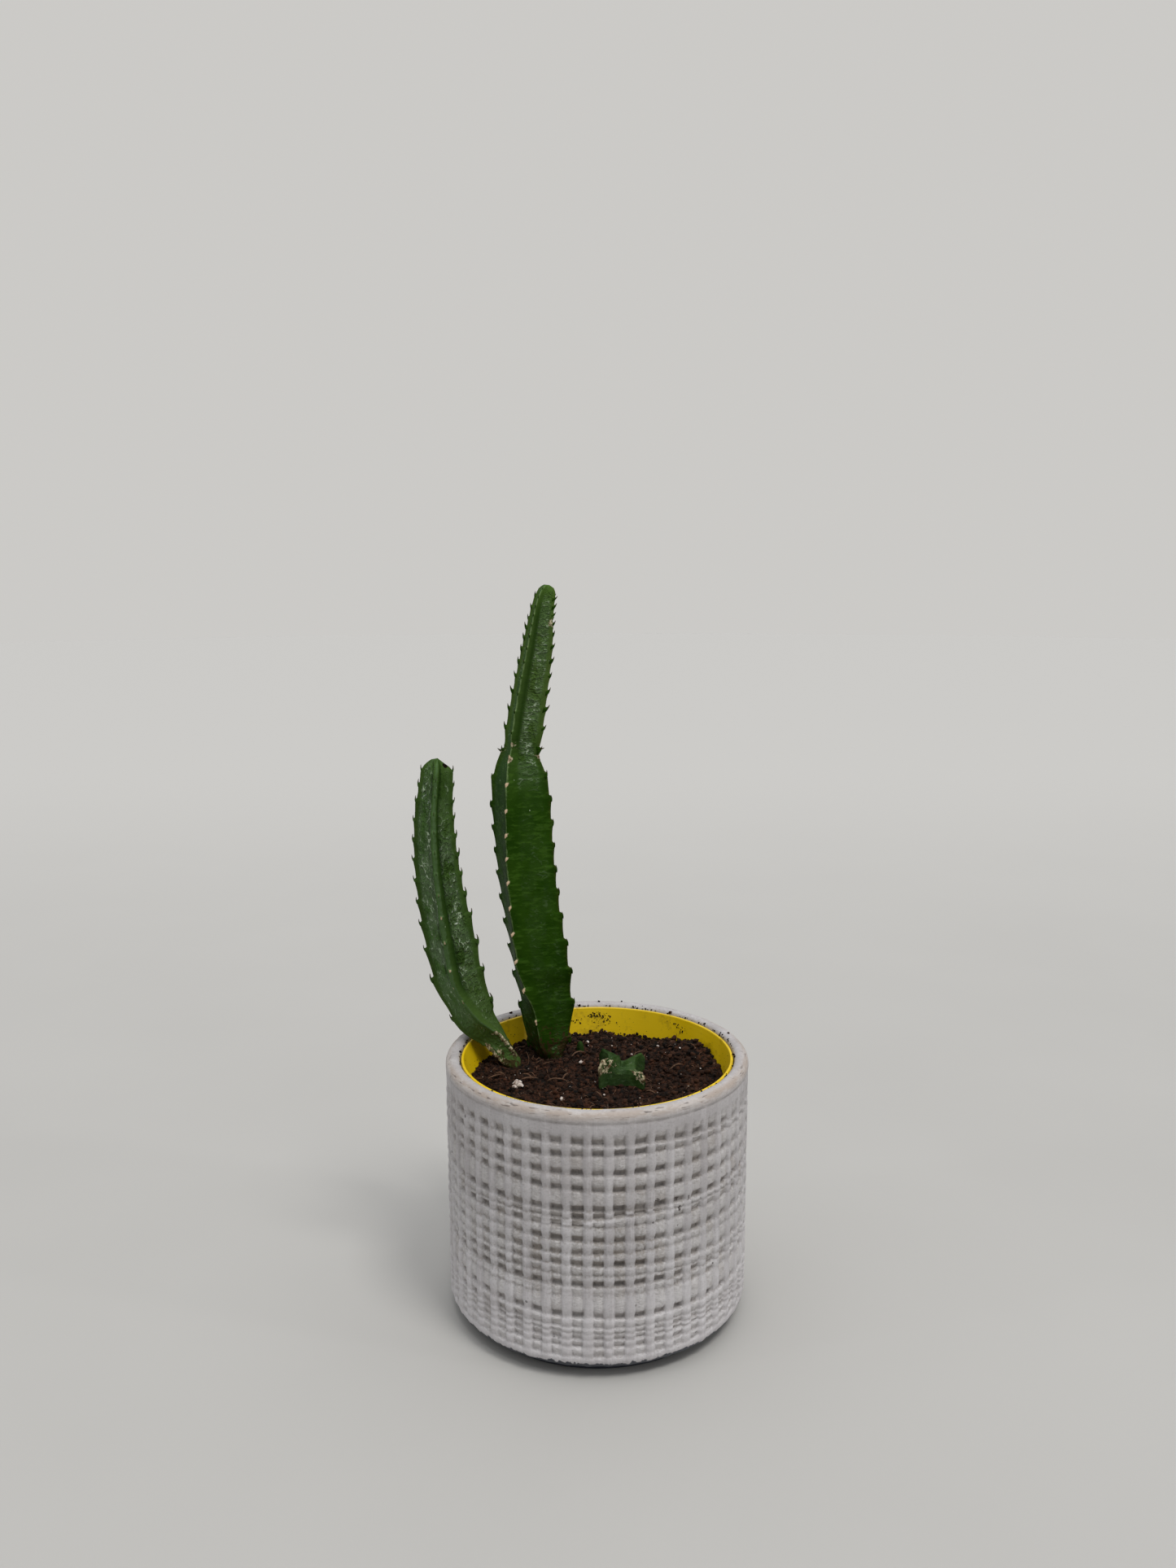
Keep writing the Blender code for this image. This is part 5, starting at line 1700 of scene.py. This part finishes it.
def skin_marks(spot, place):
    """Where the crests are pale, and where scars, cork, dry edges, scabs and the side face's painted bluish
    sheen are.
    """
    level, nearest = spot.level, spot.nearest
    scar = spot.look("scars")[nearest] * level.look("scarred")
    return {
        "height": level.share,
        "crest": spot.look("pale")[nearest] * bell(spot.from_crest, level.look("pale_width")),
        "scar": scar * bell(spot.near_tooth - 0.0002, 0.0008) * bell(spot.from_edge, 0.0009),
        "cork": max(mark_at(spot.look("cork"), place), crusted_at(spot)),
        "dry": spot.look("dry")[nearest] * bell(spot.from_edge, 0.0005),
        "scab": mark_at(spot.look("scabs"), place),
        "painted_sheen": level.look("painted_sheen") * smooth(4.0, 20.0, spot.turn) if spot.rib == SIDE_RIB else 0.0,
    }


def stem_point(shape, spot):
    """One point of a stem's skin with its marks."""
    level = spot.level
    opened = smooth(0.0, BASE_LENGTH, level.along)
    bare = bare_radius(spot)
    radius, furrow = furrowed(spot, bare)
    wrinkled = wrinkled_at(spot)
    radius += FOLD_HEIGHT * folds_at(level.centre + spot.outward * bare) * wrinkled * opened
    swollen = bell(spot.near_tooth - 0.0016, 0.0022) * bell(spot.from_crest - 5.0, 7.0)
    radius += SWELLING * swollen * opened
    place = roughen(spot, slant(spot, level.centre + spot.outward * radius))
    return shape.point(place, furrow=furrow, wrinkled=wrinkled, **skin_marks(spot, place))


def add_plug(shape, entry, radius, turned):
    """The round plug in the soil, narrowed at its foot."""
    angles = [math.radians(QUARTER * rib + turn + turned) for rib in range(RIBS) for turn in TURNS]
    rings = []
    for depth, share in ((PLUG_DEPTH, 0.6), (PLUG_DEPTH - 0.0015, 1.0), (0.0015, 1.0)):
        rings.append(shape.ring([around(entry, radius * share, angle, -depth) for angle in angles]))
    shape.close(rings[0], around(entry, 0.0, 0.0, -PLUG_DEPTH))
    return rings


def add_hook(shape, foot, outward, upward, size, fin, scar):
    """A hooked tooth: a fin that grows out of the rib and leans up, with a dry brown tip."""
    sideways = outward.cross(upward)
    angles = [math.tau * corner / HOOK_SIDES for corner in range(HOOK_SIDES)]
    rings = []
    for step in range(HOOK_STEPS):
        share = step / (HOOK_STEPS - 1)
        out = size * (-0.50 + 1.30 * share - 0.25 * share ** 3)
        up = size * (-0.45 + 0.35 * share + 1.05 * share ** 2)
        middle = foot + outward * out + upward * up
        tall = size * (0.80 * fin * (1.0 - share) ** 1.3 + 0.07)
        thick = size * (0.30 * (1.0 - share) ** 0.8 + 0.05)
        flank = (upward * (1.0 - 0.7 * share) - outward * 0.9 * share).normalized()
        places = []
        for angle in angles:
            places.append(middle + sideways * thick * math.cos(angle) + flank * tall * math.sin(angle))
        brown, pale = smooth(0.50, 0.95, share), scar * smooth(0.1, 0.4, share)
        rings.append(shape.ring(places, hook=brown, scar=pale, height=0.5))
    shape.join_all(rings)
    shape.close(rings[0], foot - outward * size * 0.55 - upward * size * 0.45)
    shape.close(rings[-1], foot + outward * size * 0.57 + upward * size * 1.08, hook=1.0, scar=scar)


def hook_on(shape, level, rib, size, lift, chance):
    """A tooth on a rib at a level of the stem. lift turns it up or down."""
    looks = level.stem.looks
    outward, upward = level.outward(QUARTER * rib), level.upward
    out = level.reach + level.stem.growth(level.along, rib, level.reach)
    sway = Vector((chance.uniform(-0.15, 0.15), chance.uniform(-0.15, 0.15), chance.uniform(-0.2, 0.15)))
    leaning = (upward + sway - outward * lift).normalized()
    square = (outward - leaning * outward.dot(leaning)).normalized()
    scar = looks["scars"][rib] * level.look("scarred")
    upright = 1.0 - level.look("lean")
    tilt = math.radians(HOOK_TILT * upright)
    inset, sunk = looks["rooted"]
    foot = level.centre + outward * (out - inset * size * upright) - upward * (sunk * size * upright)
    turned_out = square * math.cos(tilt) + leaning * math.sin(tilt)
    turned_up = leaning * math.cos(tilt) - square * math.sin(tilt)
    add_hook(shape, foot, turned_out, turned_up, size, looks["fin"], scar)


def add_hooks(shape, stem, chance):
    """The teeth on all ribs, those round the tip, and the long ones at the waist."""
    for rib in range(RIBS):
        for tooth in stem.teeth[rib]:
            level = Level(stem, tooth)
            size = level.look("hook") * MM * chance.uniform(0.8, 1.15) * stem.looks["hook_share"][rib]
            hook_on(shape, level, rib, size, 0.0, chance)
        if stem.looks["crown"]:
            crown = Level(stem, stem.length - (CROWN_BACK if rib % 2 else 1.6 * CROWN_BACK))
            hook_on(shape, crown, rib, stem.looks["crown"] * MM, 0.3, chance)
    for rib, more in stem.looks["spikes"]:
        waist = Level(stem, stem.looks["waist"] * MM - SOIL_LEVEL + more)
        hook_on(shape, waist, rib, SPIKE_SIZE, SPIKE_LIFT, chance)


def make_stem(name, node, stem, plug_radius, finish, seed):
    shape = Shape(*STEM_MARKS)
    rings = add_plug(shape, stem.entry, plug_radius, math.degrees(stem.row(0.0)[2]))
    steps = round(stem.length / LEVEL_STEP)
    for step in range(steps + 1):
        level = Level(stem, stem.length * step / steps)
        rings.append([stem_point(shape, Spot(level, rib, turn)) for rib in range(RIBS) for turn in TURNS])
    shape.join_all(rings)
    tip = level.centre + level.upward * TIP_CROWN
    shape.close(rings[-1], tip, height=1.0, scab=mark_at(stem.looks["scabs"], tip))
    add_hooks(shape, stem, random.Random(seed))
    return piece(name, shape, finish, node)


def make_tall_stem():
    teeth = (TALL_PITCH, TALL_FIRST_TOOTH, TALL_OTHER_PAIR, TALL_SLIPS)
    stem = Stem(TALL_ENTRY, TALL_STATIONS, TALL_HOLLOWS, teeth, TALL_LOOKS)
    skin = stem_skin("tall_skin", **TALL_SKIN)
    return make_stem("tall_stem", "stem_tall", stem, TALL_PLUG_RADIUS, skin, TALL_SEED)


def make_short_stem():
    teeth = (SHORT_PITCH, SHORT_FIRST_TOOTH, SHORT_OTHER_PAIR, SHORT_SLIPS)
    stem = Stem(SHORT_ENTRY, SHORT_STATIONS, SHORT_HOLLOWS, teeth, SHORT_LOOKS)
    skin = stem_skin("short_skin", **SHORT_SKIN)
    return make_stem("short_stem", "stem_short", stem, SHORT_PLUG_RADIUS, skin, SHORT_SEED)


# Stub and buried tip


def stub_top(rib, from_crest):
    crest = STUB_RIB_TOPS[rib]
    return crest + (STUB_HEART - crest) * min(1.0, from_crest / STUB_FACE_ANGLE)


def stub_point(shape, rib, turn, rise, share):
    """A point of the stub: rise goes up its flank, and share from the top's edge in to the heart."""
    nearest = nearest_rib(rib, turn)
    from_crest = min(turn, QUARTER - turn)
    height = STUB_UNDERSIDE + (stub_top(nearest, from_crest) - STUB_UNDERSIDE) * rise
    round_over = math.sqrt(max(0.0, 1.0 - smooth(0.72, 1.02, rise) * 0.25))
    reach = STUB_REACH * (0.96 + 0.04 * rise) * round_over
    radius = reach * section_share(math.radians(turn), STUB_HOLLOW)
    radius = crest_bead(radius, reach, STUB_BEAD, math.radians(from_crest)) * share
    angle = math.radians(QUARTER * rib + turn + STUB_TURN)
    rough = wander(*polar(radius * 400, angle), height * 500)
    radius += 0.00025 * rough * rise
    x, y, z = around(STUB_ENTRY, radius, angle, height)
    z -= (0.0007 + 0.0004 * rough) * (1.0 - share)
    edge = bell(from_crest, 9.0)
    corky = 0.0
    if nearest in STUB_WORN:
        worn = bell(from_crest, STUB_WORN[nearest]) * smooth(0.80, 0.95, rise)
        corky = max(edge * smooth(0.25, 0.7, rise), 0.95 * worn) * smooth(0.55, 0.85, share)
    return shape.point((x, y, z), height=0.3, cork=corky * 0.9, crest=0.3 * edge, wrinkled=0.4)


def make_stub(finish):
    """A short four-winged stump with corky, broken edges."""
    shape = Shape(*STEM_MARKS)
    rings = add_plug(shape, STUB_ENTRY, STUB_PLUG_RADIUS, STUB_TURN)
    levels = [(step / STUB_STEPS, 1.0) for step in range(STUB_STEPS + 1)]
    levels += [(1.0, share) for share in STUB_TOP_RINGS]
    for rise, share in levels:
        rings.append([stub_point(shape, rib, turn, rise, share) for rib in range(RIBS) for turn in TURNS])
    shape.join_all(rings)
    heart = (STUB_ENTRY[0], STUB_ENTRY[1], STUB_ENTRY[2] + STUB_HEART - 0.0010)
    shape.close(rings[-1], heart, height=0.3)
    return piece("stub", shape, finish, "stub_cutting")


def make_nub(finish):
    """The small ribbed tip of a buried cutting."""
    shape = Shape(*STEM_MARKS)
    rings = []
    for share, height in NUB_OUTLINE:
        ring = []
        for side in range(NUB_SIDES):
            angle = math.tau * side / NUB_SIDES
            radius = NUB_RADIUS * share * (0.92 + 0.08 * math.cos(4 * angle))
            ring.append(shape.point(around(NUB_ENTRY, radius, angle, height), height=0.6, crest=0.2))
        rings.append(ring)
    shape.join_all(rings)
    shape.close(rings[0], around(NUB_ENTRY, 0.0, 0.0, -NUB_DEPTH))
    shape.close(rings[-1], around(NUB_ENTRY, 0.0, 0.0, NUB_HEIGHT), cork=0.8)
    return piece("small_tip", shape, finish, "buried_tip")


# Studio


def make_floor():
    shape = Shape()
    rings = [shape.round_ring(96, radius, 0.0) for radius in (6.0, 2.0, 0.5)]
    shape.join_all(rings)
    shape.close(rings[-1], (0.0, 0.0, 0.0))
    floor = add_object("floor", shape.mesh("floor"))
    floor.data.materials.append(pale_floor())


def make_light(name, source, spread, power, colour):
    """A very soft distant light that comes from a direction, spread over some degrees."""
    light = bpy.data.lights.new(name, "SUN")
    light.angle = math.radians(spread)
    light.energy = power
    light.color = colour
    made = add_object(name, light)
    made.location = source
    made.rotation_euler = Vector(source).to_track_quat("Z", "Y").to_euler()


def make_studio():
    for name, values in LIGHTS.items():
        make_light(name, *values)
    world = bpy.data.worlds.new("studio")
    world.use_nodes = True
    nodes = Nodes(world.node_tree)
    rise = nodes.add("SeparateXYZ", {0: nodes.add("TexCoord", {}).outputs["Generated"]}).outputs[2]
    sky = nodes.mix(nodes.ramp(rise, 0.25, 1.0), LOW_SKY, HIGH_SKY)
    seen = nodes.add("LightPath", {}).outputs["Is Camera Ray"]
    nodes.put(nodes.mix(seen, sky, BACKDROP), world.node_tree.nodes["Background"].inputs["Color"])
    bpy.context.scene.world = world
    bpy.context.scene.view_settings.view_transform = "Standard"


def make_camera():
    lens = bpy.data.cameras.new("camera")
    lens.sensor_fit = "VERTICAL"
    lens.sensor_height = CAMERA_SENSOR
    lens.lens = CAMERA_LENS
    lens.clip_start = 0.01
    camera = add_object("camera", lens)
    pitch = Matrix.Rotation(math.radians(CAMERA_PITCH), 4, "X")
    roll = Matrix.Rotation(math.radians(CAMERA_ROLL), 4, "Z")
    camera.matrix_world = Matrix.Translation(CAMERA_PLACE) @ pitch @ roll
    bpy.context.scene.camera = camera


def main():
    make_specks()
    make_blotches()
    make_creases()
    make_cover_pot(pot_paint())
    make_nursery_pot(yellow_plastic())
    earth = crumbly("soil", *SOIL_COLOURS)
    make_soil(earth)
    make_crumbs(earth)
    make_heaps(earth)
    make_stray_crumbs(earth)
    make_fibres(crumbly("fibre", *FIBRE_COLOURS))
    make_perlite(pale_grit())
    make_tall_stem()
    make_short_stem()
    make_stub(stem_skin("stub_skin", **STUB_SKIN))
    make_nub(stem_skin("small_tip_skin", **NUB_SKIN))
    make_floor()
    make_studio()
    make_camera()


main()
